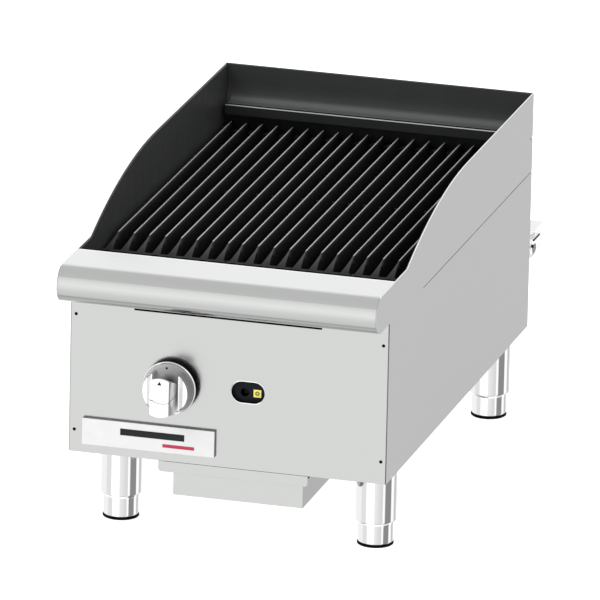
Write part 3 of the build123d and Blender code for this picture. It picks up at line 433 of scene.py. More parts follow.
def piece_from(name, mesh_edit, nodes, materials, bevel=0.0, segments=2, angle=SHARP_ANGLE):
    """Link a finished bmesh as a piece that stands for CAD nodes on one body."""
    bmesh.ops.recalc_face_normals(mesh_edit, faces=mesh_edit.faces)
    mesh = bpy.data.meshes.new(name)
    mesh_edit.to_mesh(mesh)
    mesh_edit.free()
    for material in materials:
        mesh.materials.append(material)
    mesh.set_sharp_from_angle(angle=math.radians(SHARP_ANGLE))
    for polygon in mesh.polygons:
        polygon.use_smooth = True
    piece = bpy.data.objects.new(name, mesh)
    bpy.context.scene.collection.objects.link(piece)
    if bevel:
        bevel_edges(piece, bevel, segments, angle)
    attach(piece, BODY_OF[nodes[0]])
    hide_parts(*nodes)
    return piece


def softened(node, material, bevel):
    """A sheet or casting of the frame with its sharp edges rounded."""
    edit = bmesh.new()
    edit.from_mesh(frame["nodes"][node].data)
    bmesh.ops.remove_doubles(edit, verts=edit.verts, dist=1e-6)
    bmesh.ops.dissolve_limit(edit, angle_limit=math.radians(0.5), verts=edit.verts, edges=edit.edges)
    for face in edit.faces:
        face.material_index = 0
    return piece_from(node + "_finished", edit, [node], [material], bevel)


def arc(centre, radius, start, end, steps):
    """Points of an arc from one angle to another, in degrees."""
    points = []
    for step in range(steps + 1):
        angle = math.radians(start + (end - start) * step / steps)
        points.append((centre[0] + radius * math.cos(angle), centre[1] + radius * math.sin(angle)))
    return points


def sweep_x(edit, outline, x_low, x_high):
    """Closed outline in (y, z) drawn out from x_low to x_high, with its ends closed."""
    ends = []
    for x in (x_low, x_high):
        ends.append([edit.verts.new(at(x, y, z)) for y, z in outline])
    count = len(outline)
    for index in range(count):
        after = (index + 1) % count
        edit.faces.new((ends[0][index], ends[0][after], ends[1][after], ends[1][index]))
    edit.faces.new(ends[0])
    edit.faces.new(list(reversed(ends[1])))


def lathe(edit, profile, centre, axis, segments):
    """Surface of revolution about Y or Z: profile holds (radius, place along the axis)."""
    rings = []
    for radius, along in profile:
        ring = []
        turns = 1 if radius < 1e-6 else segments
        for turn in range(turns):
            angle = 2 * math.pi * turn / segments
            a = centre[0] + radius * math.cos(angle)
            b = centre[1] + radius * math.sin(angle)
            place = (a, along, b) if axis == "y" else (a, b, along)
            ring.append(edit.verts.new(at(*place)))
        rings.append(ring)
    for first, second in zip(rings, rings[1:]):
        for turn in range(segments):
            after = (turn + 1) % segments
            corners = [first[turn % len(first)], first[after % len(first)],
                       second[after % len(second)], second[turn % len(second)]]
            unique = list(dict.fromkeys(corners))
            if len(unique) > 2:
                edit.faces.new(unique)
    for ring in (rings[0], rings[-1]):
        if len(ring) > 1:
            edit.faces.new(ring)


def box_mesh(edit, low, high, material=0):
    """Plain block between two corners."""
    corners = []
    for x in (low[0], high[0]):
        for y in (low[1], high[1]):
            for z in (low[2], high[2]):
                corners.append(edit.verts.new(at(x, y, z)))
    for face in ((0, 1, 3, 2), (4, 6, 7, 5), (0, 4, 5, 1), (2, 3, 7, 6), (0, 2, 6, 4), (1, 5, 7, 3)):
        edit.faces.new([corners[index] for index in face]).material_index = material


def loft(edit, rings):
    """Closed skin through rings of equal length, capped at both ends."""
    made = [[edit.verts.new(at(*point)) for point in ring] for ring in rings]
    count = len(made[0])
    for first, second in zip(made, made[1:]):
        for index in range(count):
            after = (index + 1) % count
            edit.faces.new((first[index], first[after], second[after], second[index]))
    edit.faces.new(made[0])
    edit.faces.new(list(reversed(made[-1])))


# ------------------------------------------------------------------ cooking grates
RIB_PITCH = 19.05
RIB_HALF_TOP = 0.85
RIB_HALF_FOOT = 5.0
NOSE_LENGTH = 47.0       # the ribs begin to slope down this far from the front
NOSE_RUN = 41.0          # and are at their lowest after this run
TAIL_LENGTH = 3.7        # the same at the rear
TAIL_RUN = 2.9
FLANGE_DROP = 10.0       # from the ribs' tops to their flanges
SECTION_GAP = 0.35       # clearance at each side of a section
WEB_Y = 388.0            # the web that joins the ribs


def rib_ring(x, y, low_z, flange_z, ends):
    """Cross-section of a rib: a narrow top that widens as it slopes down to the flanges."""
    front_y, rear_y = ends
    nose = min(1.0, max(0.0, (front_y + NOSE_LENGTH - y) / NOSE_RUN))
    tail = min(1.0, max(0.0, (y - rear_y + TAIL_LENGTH) / TAIL_RUN))
    drop = max(nose, tail)
    top_z = RIB_TOP_Z - (RIB_TOP_Z - flange_z - 0.25) * drop
    half_top = RIB_HALF_TOP + 4.2 * nose ** 1.7 + 2.0 * tail
    half_flange = max(4.1, half_top + 0.3)
    crown = 0.45 * (1 - 0.5 * drop)
    half = [(RIB_HALF_FOOT, low_z), (half_flange, flange_z), (half_top, top_z - crown),
            (half_top * 0.6, top_z)]
    left = [(x - reach, y, z) for reach, z in half]
    right = [(x + reach, y, z) for reach, z in reversed(half)]
    return left + right


def grate(name):
    """Cast section: ribs side by side, an end bar at each end and a web across between them."""
    low, high = span(name)
    low.x += SECTION_GAP
    high.x -= SECTION_GAP
    flange_z = high.z - FLANGE_DROP
    count = round((high.x - low.x - 16.0) / RIB_PITCH) + 1
    first = (low.x + high.x - (count - 1) * RIB_PITCH) / 2
    last = first + (count - 1) * RIB_PITCH
    ends = (low.y, high.y)
    stations = [low.y + step for step in (0, 6, 11, 17, 23, 29, 35, 40, 44, 46, 48)]
    stations += [high.y - step for step in (9, 4.5, 3.7, 2.2, 0.8, 0)]
    edit = bmesh.new()
    for index in range(count):
        x = first + index * RIB_PITCH
        rings = []
        for y in stations:
            ring = rib_ring(x, y, low.z, flange_z, ends)
            rings.append([(min(max(a, low.x), high.x), b, c) for a, b, c in ring])
        loft(edit, rings)
    box_mesh(edit, (low.x, low.y, low.z), (high.x, low.y + 7.0, flange_z))
    box_mesh(edit, (low.x, high.y - 13, flange_z - 6), (high.x, high.y, flange_z - 0.3))
    web = [(WEB_Y - 4.5, low.z + 1), (WEB_Y - 3, flange_z - 3.4), (WEB_Y, flange_z - 2.2),
           (WEB_Y + 3, flange_z - 3.4), (WEB_Y + 4.5, low.z + 1)]
    sweep_x(edit, web, first, last)
    piece_from(name + "_casting", edit, [name], [IRON])


# ------------------------------------------------------------------ casing
SHEET = 1.2              # thickness of the bent sheets


def front_shelf():
    """Bull nose bent from one sheet, with a turned-down rear lip; the bend above it is painted white as a
    highlight, and the flat top takes a paler steel painted as light.
    """
    low, high = span("front_shelf")
    radius = (high.z - low.z) / 2
    centre_y = low.y + radius
    centre_z = high.z - radius
    bend = 1.7
    edge_depth = 4.0
    lip_z = high.z - 12.0
    under_y = 14.0
    outer = [(high.y, lip_z)]
    outer += arc((high.y - bend, high.z - bend), bend, 0, 90, 6)
    outer += [(high.y - edge_depth, high.z)]
    outer += arc((centre_y, centre_z), radius, 90, 270, 72)
    outer += [(under_y, low.z)]
    inner = [(under_y, low.z + SHEET)]
    inner += arc((centre_y, centre_z), radius - SHEET, 270, 90, 48)
    inner += arc((high.y - bend, high.z - bend), bend - SHEET, 90, 0, 4)
    inner += [(high.y - SHEET, lip_z)]
    edit = bmesh.new()
    sweep_x(edit, outer + inner, low.x, high.x)
    edge = at(0, high.y - edge_depth, 0).y
    top = at(0, 0, high.z - bend).z
    flat = at(0, 0, high.z - 0.01).z
    # The rear bend takes the painted highlight, the flat top the paler steel painted as light.
    for face in edit.faces:
        middle = face.calc_center_median()
        if middle.y > edge and middle.z > top and len(face.verts) == 4:
            face.material_index = 1
        elif middle.z > flat and middle.y > at(0, centre_y + 2, 0).y:
            face.material_index = 2
    finishes = [STEEL_NOSE, EDGE_PAINTED_HIGHLIGHT, STEEL_TOP_PAINTED_LIGHT]
    piece_from("front_shelf_bull_nose", edit, ["front_shelf"], finishes)


def rear_ledge():
    """Ledge over the grates' rear ends: a rolled edge with a painted highlight along its top, a groove
    behind it painted black as shade, a front face in painted shade, and a cove up into the splash with
    painted light.
    """
    low, high = span("rear_ledge")
    top = high.z - 8.0
    cove = 7.6
    bead = 1.15
    groove = 10.2
    floor_z = top - 1.5
    under_z = top - 2.6
    rear = high.y - 0.35
    bead_rear = low.y + 2 * bead
    outline = [(low.y, low.z), (low.y, top - bead)]
    outline += arc((low.y + bead, top - bead), bead, 170, 20, 8)
    outline += [(bead_rear + 0.1, top - bead - 0.2), (bead_rear + 0.9, floor_z - 0.1)]
    outline += [(low.y + groove, floor_z)]
    outline += arc((rear - cove, floor_z + 0.1 + cove), cove, 270, 360, 14)
    outline += [(high.y, floor_z + 0.4 + cove), (high.y, under_z), (low.y + SHEET, under_z)]
    outline += [(low.y + SHEET, low.z)]
    edit = bmesh.new()
    sweep_x(edit, outline, low.x, high.x)
    bright = at(0, 0, top - bead * 1.1).z
    back = at(0, bead_rear + 0.2, 0).y
    lit = at(0, low.y + groove, 0).y
    for face in edit.faces:
        middle = face.calc_center_median()
        # The cove takes the splash enamel with its painted light.
        if middle.y > lit:
            face.material_index = 1
        # The groove behind the bead is painted black as shade.
        elif middle.y > back:
            face.material_index = 3
        # The bead's top takes the painted highlight.
        elif middle.z > bright and len(face.verts) == 4:
            face.material_index = 2
    # The front face keeps the first finish, the enamel painted as shade.
    finishes = [LINER_PAINTED_SHADE, LINER_PAINTED_LIGHT_AND_SHADE, BEAD_PAINTED_HIGHLIGHT, RUBBER]
    piece_from("rear_ledge_coved", edit, ["rear_ledge"], finishes)


def sided_sheet(node, side_painted_shade):
    """Stainless sheet part whose faces towards the sides are painted darker as shade."""
    piece = softened(node, STEEL_ACROSS, 0.4)
    piece.data.materials.append(side_painted_shade)
    for polygon in piece.data.polygons:
        polygon.material_index = 1 if abs(polygon.normal.x) > 0.7 else 0


def side_panel(node):
    """Side sheet with a painted highlight along its top edge, and painted shade along the right sheet's
    front edge below the nose.
    """
    piece = softened(node, STEEL_SIDE_PAINTED_SHADE, 0.12)
    piece.data.materials.append(EDGE_PAINTED_HIGHLIGHT)
    piece.data.materials.append(SEAM_PAINTED_SHADE)
    low, high = span("front_shelf")
    shelf_z = at(0, 0, high.z).z
    nose_z = at(0, 0, low.z).z
    # Top edges take the painted highlight; on the right panel the front edge below the nose takes painted
    # shade.
    for polygon in piece.data.polygons:
        outward = polygon.normal.z > 0.15 or polygon.normal.y < -0.15
        above = polygon.center.z > shelf_z + 0.0006 or polygon.normal.z > 0.97
        if abs(polygon.normal.x) < 0.3 and outward and above and polygon.center.z > nose_z:
            polygon.material_index = 1
        elif node == "right_side_panel" and polygon.normal.y < -0.7 and polygon.center.z < nose_z:
            polygon.material_index = 2


def stadium(centre, width, height, steps):
    """Points round a slot with half-round ends, in (x, z)."""
    reach = width / 2 - height / 2
    right = arc((centre[0] + reach, centre[1]), height / 2, -90, 90, steps)
    left = arc((centre[0] - reach, centre[1]), height / 2, 90, 270, steps)
    return right + left


WINDOW_CENTRE = (23.8, 93.3)
WINDOW_WIDTH = 42.0
WINDOW_HEIGHT = 27.4
RIM_RADIUS = 0.8
RIM_Y = 0.35             # the rim's middle, behind the panel's outer face
RIM_STEPS = 8


def window_rim():
    """Rolled rim round the lighting window."""
    path = stadium(WINDOW_CENTRE, WINDOW_WIDTH - RIM_RADIUS, WINDOW_HEIGHT - RIM_RADIUS, 16)
    edit = bmesh.new()
    rings = []
    count = len(path)
    for index, (x, z) in enumerate(path):
        before = path[index - 1]
        after = path[(index + 1) % count]
        along = Vector((after[0] - before[0], after[1] - before[1])).normalized()
        out = Vector((along.y, -along.x))
        ring = []
        for turn in range(RIM_STEPS):
            angle = 2 * math.pi * turn / RIM_STEPS
            reach = RIM_RADIUS * math.cos(angle)
            depth = RIM_RADIUS * math.sin(angle)
            ring.append(edit.verts.new(at(x + out.x * reach, RIM_Y + depth, z + out.y * reach)))
        rings.append(ring)
    for index in range(count):
        first = rings[index]
        second = rings[(index + 1) % count]
        for turn in range(RIM_STEPS):
            after = (turn + 1) % RIM_STEPS
            edit.faces.new((first[turn], first[after], second[after], second[turn]))
    piece_from("front_panel_window_rim", edit, ["front_panel"], [CHROME])


def nameplate():
    """Plain plate with a pale face and edges painted grey as shade, and two blank bars instead of
    lettering.
    """
    low, high = span("nameplate")
    edit = bmesh.new()
    box_mesh(edit, low, high, 1)
    # Every face but the front takes the grey painted shade.
    for face in edit.faces:
        if face.calc_center_median().y < at(0, low.y, 0).y + 1e-5:
            face.material_index = 0
    piece_from("nameplate_plate", edit, ["nameplate"], [PLATE_FACE, GREY_PAINTED_SHADE], 0.5, 3)
    bars = span("nameplate_stripes")
    dark = bmesh.new()
    box_mesh(dark, (low.x + 46, bars[0].y, low.z + 16), (high.x - 36, low.y + 0.05, low.z + 24))
    piece_from("nameplate_dark_bar", dark, ["nameplate_stripes"], [MARK_DARK], 0.12)
    red = bmesh.new()
    box_mesh(red, (high.x - 62, bars[0].y, low.z + 6.5), (high.x - 24, low.y + 0.05, low.z + 10.5))
    piece_from("nameplate_red_bar", red, ["nameplate_stripes"], [MARK_RED], 0.12)


def screws():
    """Four dark dished screw heads."""
    low, high = span("front_panel_screws")
    profile = [(0, 9), (1.5, 9), (1.5, 0.4), (2.0, 0), (1.9, -0.35), (1.2, -0.58), (0, -0.6)]
    edit = bmesh.new()
    for x in (low.x + 2, high.x - 2):
        for z in (low.z + 2, high.z - 2):
            lathe(edit, profile, (x, z), "y", 20)
    piece_from("front_panel_screw_set", edit, ["front_panel_screws"], [RUBBER])


# ------------------------------------------------------------------ control knob
def knob_parts():
    """Skirt, grip and marks of the gas knob."""
    radius = (KNOB_HIGH.x - KNOB_LOW.x) / 2
    front = KNOB_LOW.y
    rear = KNOB_HIGH.y
    face_y = front + 0.7
    edit = bmesh.new()
    profile = [(0, rear), (radius - 2.5, rear), (radius - 0.8, rear - 0.5), (radius, rear - 1.6),
               (radius, front + 1.5), (radius - 0.3, front + 0.5), (radius - 1.0, front),
               (radius - 1.7, front + 0.3), (radius - 2.2, face_y), (0, face_y)]
    lathe(edit, profile, (KNOB_X, KNOB_Z), "y", 128)
    behind = at(0, front + 1.6, 0).y
    axis_z = at(0, 0, KNOB_Z).z
    inside = (radius - 2.3) * MM
    for face in edit.faces:
        middle = face.calc_center_median()
        from_axis = math.hypot(middle.x - KNOB_X * MM, middle.z - axis_z)
        # Faces behind the rim take the black painted shade.
        if middle.y > behind:
            face.material_index = 1
        # The face inside the rim takes the disc's painted shade.
        elif from_axis < inside:
            face.material_index = 2
    piece_from("knob_skirt_disc", edit, ["knob_skirt"], [KNOB_METAL, KNOB_BACK_PAINTED_SHADE, KNOB_DISC_PAINTED_SHADE])
    knob_grip(face_y)
    knob_marks(face_y)


GRIP_LOW, GRIP_HIGH = span("knob_grip")
GRIP_FRONT = GRIP_LOW.y + 0.05
GRIP_HALF = 11.3
LOBE_FRONT = -28.0
LOBE_RADIUS = (GRIP_HIGH.x - GRIP_LOW.x) / 2 - 0.02
LOBE_REACH = 20.8        # half the height of a lobe's inner parts
LOBE_ROWS = 40
BAR_RADIUS = 23.2        # radius of the bar's ends at its front
BAR_DEPTH = 40.0         # the flanks' hollows are spaced over this depth
BAR_ROWS = 14            # rows down each flank
HOLLOW = 1.3             # depth of the hollow in each flank
CREASE_HALF = 0.4        # half the height of the crease across the bar's face
GRIP_FINISHES = [KNOB_METAL, KNOB_SLOPE_PAINTED_REFLECTION, KNOB_DISC_PAINTED_SHADE, KNOB_FLANK_PAINTED_HIGHLIGHT_AND_SHADE, KNOB_PAINTED_HIGHLIGHT]
METAL, SLOPE_REFLECTION, DISC, FLANK, HIGHLIGHT = range(5)        # places in GRIP_FINISHES


def knob_lobe(edit, side, rear):
    """Lobe beside the grip bar: a flat crescent with a shallow slope inside it."""
    loops = []
    straight = ((15.4, rear), (15.4, LOBE_FRONT + 0.9), (15.7, LOBE_FRONT + 0.4), (17.0, LOBE_FRONT + 0.4),
                (17.2, LOBE_FRONT + 0.6), (21.2, LOBE_FRONT + 0.6), (21.5, LOBE_FRONT))
    for chord, y in straight:
        limit = min(LOBE_REACH, math.sqrt(LOBE_RADIUS ** 2 - chord ** 2) - 0.02)
        loop = []
        for row in range(LOBE_ROWS + 1):
            loop.append((KNOB_X + side * chord, y, KNOB_Z - limit + 2 * limit * row / LOBE_ROWS))
        loops.append(loop)
    round_edge = ((LOBE_RADIUS - 0.8, 21.55, LOBE_FRONT), (LOBE_RADIUS, 17.6, LOBE_FRONT + 0.8),
                  (LOBE_RADIUS, 17.6, rear))
    for radius, chord, y in round_edge:
        reach = math.acos(chord / radius)
        loop = []
        for row in range(LOBE_ROWS + 1):
            angle = -reach + 2 * reach * row / LOBE_ROWS
            loop.append((KNOB_X + side * radius * math.cos(angle), y, KNOB_Z + radius * math.sin(angle)))
        loops.append(loop)
    made = [[edit.verts.new(at(*point)) for point in loop] for loop in loops]
    # The crescent's faces take the painted highlight, the slope the painted grey reflection.
    shades = (DISC, DISC, HIGHLIGHT, HIGHLIGHT, SLOPE_REFLECTION, HIGHLIGHT, METAL, DISC, DISC, DISC)
    for first, second, shade in zip(made, made[1:] + made[:1], shades):
        for row in range(LOBE_ROWS):
            quad = edit.faces.new((first[row], first[row + 1], second[row + 1], second[row]))
            quad.material_index = shade
    edit.faces.new([loop[0] for loop in made]).material_index = DISC
    edit.faces.new([loop[-1] for loop in reversed(made)]).material_index = DISC


def bar_radius(y):
    """Radius that the bar's ends follow: it widens from the front to the lobes."""
    share = min(1.0, max(0.0, (y - GRIP_FRONT) / (LOBE_FRONT - GRIP_FRONT)))
    return BAR_RADIUS + (LOBE_RADIUS - BAR_RADIUS) * share


def bar_crease(x):
    """Height of the shallow crease across the bar's face."""
    share = x / GRIP_HALF
    return -6.3 - 1.15 * share + 2.55 * share * share


def bar_ring(y, upper):
    """Outline of the bar's upper or lower half across its depth."""
    cross = [GRIP_HALF * (step / 5 - 1) for step in range(11)]
    radius = bar_radius(y)
    if upper:
        fall = max(0.0, y - GRIP_FRONT - 3.0) / 2.6
        highs = [math.sqrt(BAR_RADIUS ** 2 - x * x) - fall for x in cross]
        lows = [bar_crease(x) + CREASE_HALF for x in cross]
    else:
        highs = [bar_crease(x) - CREASE_HALF for x in cross]
        lows = [-math.sqrt(radius ** 2 - x * x) for x in cross]
    depth = (y - GRIP_FRONT) / BAR_DEPTH
    flank = []
    for row in range(1, BAR_ROWS):
        height = highs[-1] + (lows[-1] - highs[-1]) * row / BAR_ROWS
        reach = max(0.0, 1 - ((height - 1.5) / 19.0) ** 2)
        hollow = HOLLOW * reach * max(0.0, 1 - ((depth - 0.45) / 0.3) ** 2)
        flank.append((GRIP_HALF - hollow, height))
    ring = list(zip(cross, highs)) + flank + list(zip(reversed(cross), reversed(lows)))
    ring += [(-a, b) for a, b in reversed(flank)]
    return [(KNOB_X + a, y, KNOB_Z + b) for a, b in ring]


def knob_grip(rear):
    """Tall bar between two lobes, on a low web."""
    edit = bmesh.new()
    for side in (-1, 1):
        knob_lobe(edit, side, rear)
    web = 15.6
    core = GRIP_HALF - 2.2
    box_mesh(edit, (KNOB_X - web, rear - 3.0, KNOB_Z - 21.0), (KNOB_X + web, rear, KNOB_Z + 8.5), DISC)
    box_mesh(edit, (KNOB_X - core, GRIP_FRONT + 0.5, KNOB_Z - 15), (KNOB_X + core, rear, KNOB_Z + 8), DISC)
    stations = [0, 0.6, 1.6, 3, 6] + [6 + 2 * step for step in range(1, 17)]
    depths = [GRIP_FRONT + step for step in stations if GRIP_FRONT + step < rear - 0.3] + [rear]
    start = len(edit.faces)
    for upper in (True, False):
        loft(edit, [bar_ring(y, upper) for y in depths])
    bmesh.ops.recalc_face_normals(edit, faces=edit.faces)
    edit.faces.ensure_lookup_table()
    for face in edit.faces[start:]:
        # The flanks take the painted highlight and shade.
        if abs(face.normal.x) > 0.6:
            face.material_index = FLANK
        # The bar's upward slope takes the disc's painted shade.
        elif face.normal.z > 0.25 and face.calc_center_median().y > at(0, GRIP_FRONT + 3, 0).y:
            face.material_index = DISC
    piece_from("knob_grip_bar", edit, ["knob_grip"], GRIP_FINISHES, 0.28, 2, 40)


def knob_marks(skirt_y):
    """Black triangle on the bar's face and dot on the skirt."""
    front = span("knob_marks")[0].y
    edit = bmesh.new()
    corners = [(-2.6, 15.8), (2.6, 15.8), (0, 20.4)]
    loft(edit, [[(KNOB_X + a, y, KNOB_Z + b) for a, b in corners] for y in (front, front + 0.5)])
    dot_y = skirt_y - 0.25
    dot = [(0, dot_y), (1.4, dot_y), (1.4, dot_y + 0.5), (0, dot_y + 0.5)]
    lathe(edit, dot, (KNOB_X - 3.0, KNOB_Z + 24.1), "y", 24)
    piece_from("knob_triangle_and_dot", edit, ["knob_marks"], [MARK_DARK])


# ------------------------------------------------------------------ legs
def legs():
    """Turned feet, and chrome leg tubes with a polished lower rim."""
    low, high = span("leg_tubes")
    foot_low, foot_high = span("foot_front_left")
    radius = (foot_low.x + foot_high.x) / 2 - low.x
    hollow = 6.2
    profile = [(0, high.z), (radius, high.z), (radius, low.z + 1.3), (radius, low.z + 0.8),
               (radius - 0.15, low.z + 0.3), (radius - 0.6, low.z), (radius - 1.2, low.z),
               (radius - 3.2, low.z), (hollow, low.z), (hollow, low.z + 40), (0, low.z + 40)]
    edit = bmesh.new()
    for end in ("front", "rear"):
        for side in ("left", "right"):
            foot_piece(end + "_" + side)
            foot_low, foot_high = span("foot_" + end + "_" + side)
            centre = ((foot_low.x + foot_high.x) / 2, (foot_low.y + foot_high.y) / 2)
            lathe(edit, profile, centre, "z", 96)
    piece_from("leg_tube_set", edit, ["leg_tubes"], [CHROME])


def foot_piece(place):
    """Turned foot with its bright shoulder, stud and rubber pad."""
    low, high = span("foot_" + place)
    centre = ((low.x + high.x) / 2, (low.y + high.y) / 2)
    radius = (high.x - low.x) / 2
    stud = 6.0
    shoulder = span("leg_tubes")[0].z
    profile = [(0, low.z), (radius - 1.2, low.z), (radius - 0.4, low.z + 0.4), (radius, low.z + 1.2),
               (radius, low.z + 1.8), (radius, shoulder - 4.1), (radius, shoulder - 3.5),
               (radius - 0.14, shoulder - 3.1), (radius - 0.65, shoulder - 1.0),
               (radius - 1.2, shoulder - 0.35), (radius - 2.0, shoulder - 0.05),
               (radius - 2.4, shoulder - 0.02), (stud, shoulder - 0.02), (stud, high.z - 1),
               (stud - 0.8, high.z), (0, high.z)]
    edit = bmesh.new()
    lathe(edit, profile, centre, "z", 96)
    piece_from("foot_turned_" + place, edit, ["foot_" + place], [CHROME])
    low, high = span("foot_pad_" + place)
    radius = (high.x - low.x) / 2
    profile = [(0, low.z), (radius - 0.7, low.z), (radius, low.z + 0.7), (radius, high.z - 0.5),
               (radius - 0.5, high.z), (0, high.z)]
    edit = bmesh.new()
    lathe(edit, profile, centre, "z", 64)
    piece_from("foot_pad_moulded_" + place, edit, ["foot_pad_" + place], [RUBBER])


# ------------------------------------------------------------------ gas fittings and tag
def regulator_joint_and_shade_marks():
    """A dark gasket ring on the regulator's body, dark strips painted as shade along its right side, and a
    grey band painted as shade round its barrel.
    """
    low, high = span("regulator_body")
    centre = ((low.x + high.x) / 2, low.z + 16.0)
    z = centre[1]
    edit = bmesh.new()
    # Painted shade: dark strips along the right of the body.
    box_mesh(edit, (high.x - 1.2, low.y + 12, z + 13.6), (high.x - 0.02, low.y + 40, z + 15.9))
    box_mesh(edit, (high.x - 11, low.y + 12, z + 14), (high.x - 0.6, low.y + 19, z + 15.97))
    box_mesh(edit, (high.x - 3.2, low.y + 9.4, z + 6.2), (high.x - 0.02, low.y + 12, z + 9.4))
    gasket = [(12, low.y + 8.1), (15.95, low.y + 8.1), (15.95, low.y + 9.6), (12, low.y + 9.6)]
    lathe(edit, gasket, centre, "y", 48)
    piece_from("regulator_gasket_and_painted_shade", edit, ["regulator_body"], [MARK_DARK], 0.2)
    # Painted shade: a grey band round the barrel.
    band = bmesh.new()
    ring = [(12, low.y + 16), (15.7, low.y + 16), (15.7, low.y + 34), (12, low.y + 34)]
    lathe(band, ring, centre, "y", 48)
    piece_from("regulator_painted_shade_band", band, ["regulator_body"], [GREY_PAINTED_SHADE], 0.3)


def pilot_tag():
    """Yellow tag with a plain brown ring."""
    low, high = span("pilot_tag")
    edit = bmesh.new()
    box_mesh(edit, (low.x, low.y + 0.1, low.z), high)
    piece_from("pilot_tag_plate", edit, ["pilot_tag"], [TAG_YELLOW], 0.15)
    spot = bmesh.new()
    profile = [(0.9, low.y + 0.3), (0.9, low.y), (2.8, low.y), (2.8, low.y + 0.3)]
    lathe(spot, profile, ((low.x + high.x) / 2, (low.z + high.z) / 2), "y", 32)
    piece_from("pilot_tag_ring", spot, ["pilot_tag"], [MARK_BROWN])


# ------------------------------------------------------------------ build everything
dress_frame()
for grate_name in ("left_grate", "middle_grate", "right_grate"):
    grate(grate_name)
front_shelf()
rear_ledge()
softened("front_panel", STEEL_ACROSS, 0.15)
window_rim()
for panel in ("left_side_panel", "right_side_panel"):
    side_panel(panel)
nameplate()
screws()
knob_parts()
legs()
softened("drip_tray_lip", STEEL_ACROSS, 0.4)
# Painted shade: the tray's side walls in darker steel, the back panel's side flanges in black.
for node, side_painted_shade in (("drip_tray", STEEL_SHADE), ("back_panel", RUBBER)):
    sided_sheet(node, side_painted_shade)
# The splash liner carries the painted light and shade.
softened("back_splash_liner", LINER_PAINTED_LIGHT_AND_SHADE, 0.3)
# Regulator parts painted white as highlight, with grey painted shade on their rounded edges.
for part in ("regulator_body", "regulator_bonnet", "regulator_cap", "inlet_nipple"):
    alloy = softened(part, ALLOY_PAINTED_HIGHLIGHT, 0.5)
    alloy.data.materials.append(ALLOY_EDGE_PAINTED_SHADE)
    alloy.modifiers["bevel"].material = 1        # the rounded edges take ALLOY_EDGE_PAINTED_SHADE
regulator_joint_and_shade_marks()
pilot_tag()


# ------------------------------------------------------------------ studio
def floor():
    """Pale floor that glows a little, so that it stays near white round the feet."""
    half = 60.0
    level = -0.0002        # just below the feet
    corners = [(-half, -half, level), (half, -half, level), (half, half, level), (-half, half, level)]
    mesh = bpy.data.meshes.new("studio_floor")
    mesh.from_pydata(corners, [], [(0, 1, 2, 3)])
    piece = bpy.data.objects.new("studio_floor", mesh)
    bpy.context.scene.collection.objects.link(piece)
    finish = Finish("studio_floor", (0.90, 0.90, 0.90), 0.9)
    finish.shader.inputs["Emission Color"].default_value = (1, 1, 1, 1)
    finish.shader.inputs["Emission Strength"].default_value = 0.72
    mesh.materials.append(finish.material)
    piece.visible_glossy = False


def ramp_node(tree, stops):
    """Colour ramp of greys: each stop is (place from 0 to 1, brightness)."""
    ramp = tree.nodes.new("ShaderNodeValToRGB")
    elements = ramp.color_ramp.elements
    while len(elements) > 1:
        elements.remove(elements[0])
    elements[0].position = stops[0][0]
    elements[0].color = (*[stops[0][1]] * 3, 1)
    for place, level in stops[1:]:
        elements.new(place).color = (*[level] * 3, 1)
    return ramp


# Brightness round the horizon and up the sky, as (degrees, level). Azimuth 0 is the front (-Y).
AZIMUTH_STOPS = (
    (-180, 1.17), (-156, 1.17), (-150, 0.85), (-78, 0.85), (-72, 0.71), (-44, 0.71), (-40, 1.10), (3, 1.10),
    (7, 0.80), (50, 0.63), (56, 0.98), (64, 0.98), (68, 0.24), (106, 0.24), (109, 0.95), (130, 0.95),
    (134, 0.50), (150, 0.52), (155, 0.70), (176, 0.70), (180, 1.0),
)
HEIGHT_STOPS = (
    (-90, 0.78), (-60, 0.80), (-35, 0.88), (-18, 1.0), (2, 1.12), (25, 1.12), (42, 0.99), (44.5, 0.79),
    (58, 0.77), (75, 0.75), (90, 0.77),
)
WORLD_STRENGTH = 1.13


def world_level(tree):
    """Brightness of the world by direction: panels round the horizon, even light overhead."""
    coords = tree.nodes.new("ShaderNodeTexCoord")
    split = tree.nodes.new("ShaderNodeSeparateXYZ")
    tree.links.new(coords.outputs["Generated"], split.inputs["Vector"])
    toward = math_node(tree, "MULTIPLY", split.outputs["Y"], -1.0)
    azimuth = math_node(tree, "ARCTAN2", split.outputs["X"], toward)
    azimuth = math_node(tree, "ADD", math_node(tree, "DIVIDE", azimuth, 2 * math.pi), 0.5)
    height = math_node(tree, "ARCSINE", split.outputs["Z"])
    height = math_node(tree, "ADD", math_node(tree, "DIVIDE", height, math.pi), 0.5)
    around = ramp_node(tree, [((a + 180) / 360, level) for a, level in AZIMUTH_STOPS])
    upward = ramp_node(tree, [(min((e + 90) / 180, 1.0), level) for e, level in HEIGHT_STOPS])
    tree.links.new(azimuth, around.inputs[0])
    tree.links.new(height, upward.inputs[0])
    above = tree.nodes.new("ShaderNodeMapRange")
    above.inputs["From Min"].default_value = 0.02
    above.inputs["From Max"].default_value = 0.45
    tree.links.new(split.outputs["Z"], above.inputs["Value"])
    overhead = above.outputs["Result"]
    level = math_node(tree, "SUBTRACT", 1.0, overhead)
    level = math_node(tree, "MULTIPLY", around.outputs["Color"], level)
    level = math_node(tree, "ADD", level, overhead)
    level = math_node(tree, "MULTIPLY", level, upward.outputs["Color"])
    return math_node(tree, "MULTIPLY", level, WORLD_STRENGTH)


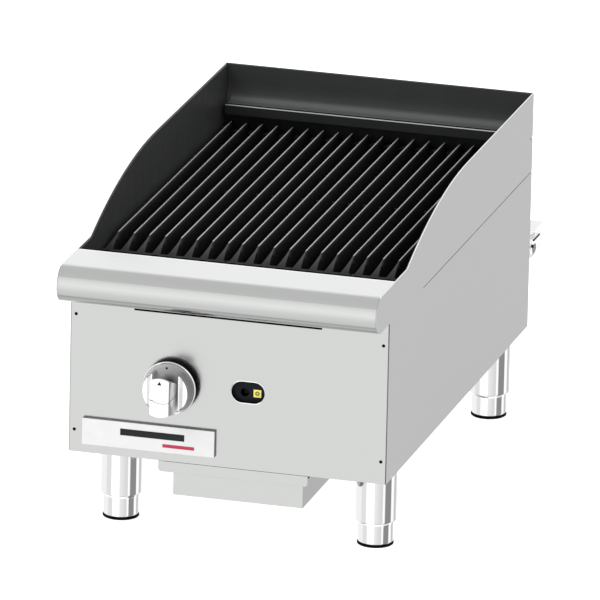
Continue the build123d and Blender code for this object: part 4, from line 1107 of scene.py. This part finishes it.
def studio_light():
    """World light on the object, and plain white to the camera."""
    world = bpy.data.worlds.new("studio")
    bpy.context.scene.world = world
    world.use_nodes = True
    tree = world.node_tree
    tree.nodes.clear()
    level = world_level(tree)
    rays = tree.nodes.new("ShaderNodeLightPath")
    lit = tree.nodes.new("ShaderNodeBackground")
    seen = tree.nodes.new("ShaderNodeBackground")
    tree.links.new(level, lit.inputs["Strength"])
    lit.inputs["Color"].default_value = (1, 1, 1, 1)
    seen.inputs["Color"].default_value = (1, 1, 1, 1)
    seen.inputs["Strength"].default_value = 1.1
    mix = tree.nodes.new("ShaderNodeMixShader")
    tree.links.new(rays.outputs["Is Camera Ray"], mix.inputs[0])
    tree.links.new(lit.outputs[0], mix.inputs[1])
    tree.links.new(seen.outputs[0], mix.inputs[2])
    output = tree.nodes.new("ShaderNodeOutputWorld")
    tree.links.new(mix.outputs[0], output.inputs["Surface"])


def soft_box(name, place, target, size, power):
    """Square area light at a place, turned towards a target."""
    data = bpy.data.lights.new(name, "AREA")
    data.size = size
    data.energy = power
    lamp = bpy.data.objects.new(name, data)
    bpy.context.scene.collection.objects.link(lamp)
    lamp.location = place
    lamp.rotation_euler = (Vector(target) - Vector(place)).to_track_quat("-Z", "Y").to_euler()
    lamp.visible_glossy = False


def camera():
    """Long lens, from the right and a little above, rolled slightly."""
    yaw = math.radians(15.3414)
    pitch = math.radians(17.4318)
    roll = math.radians(1.2703)
    distance = 14.572
    look_at = at(14.49, 250.62, 129.68)
    across = math.cos(pitch)
    forward = Vector((-math.sin(yaw) * across, math.cos(yaw) * across, -math.sin(pitch)))
    level = Vector((math.cos(yaw), math.sin(yaw), 0))
    upright = level.cross(forward)
    right = math.cos(roll) * level + math.sin(roll) * upright
    up = -math.sin(roll) * level + math.cos(roll) * upright
    data = bpy.data.cameras.new("camera")
    data.lens = 748.78
    data.sensor_width = 36.0
    data.clip_end = 200.0
    view = bpy.data.objects.new("camera", data)
    bpy.context.scene.collection.objects.link(view)
    turn = Matrix((right, up, -forward)).transposed().to_4x4()
    view.matrix_world = Matrix.Translation(look_at - distance * forward) @ turn
    bpy.context.scene.camera = view


floor()
studio_light()
soft_box("key", (-1.6, -2.6, 2.4), (0, 0, 0.2), 1.6, 30)
camera()
bpy.context.scene.view_settings.view_transform = "Standard"
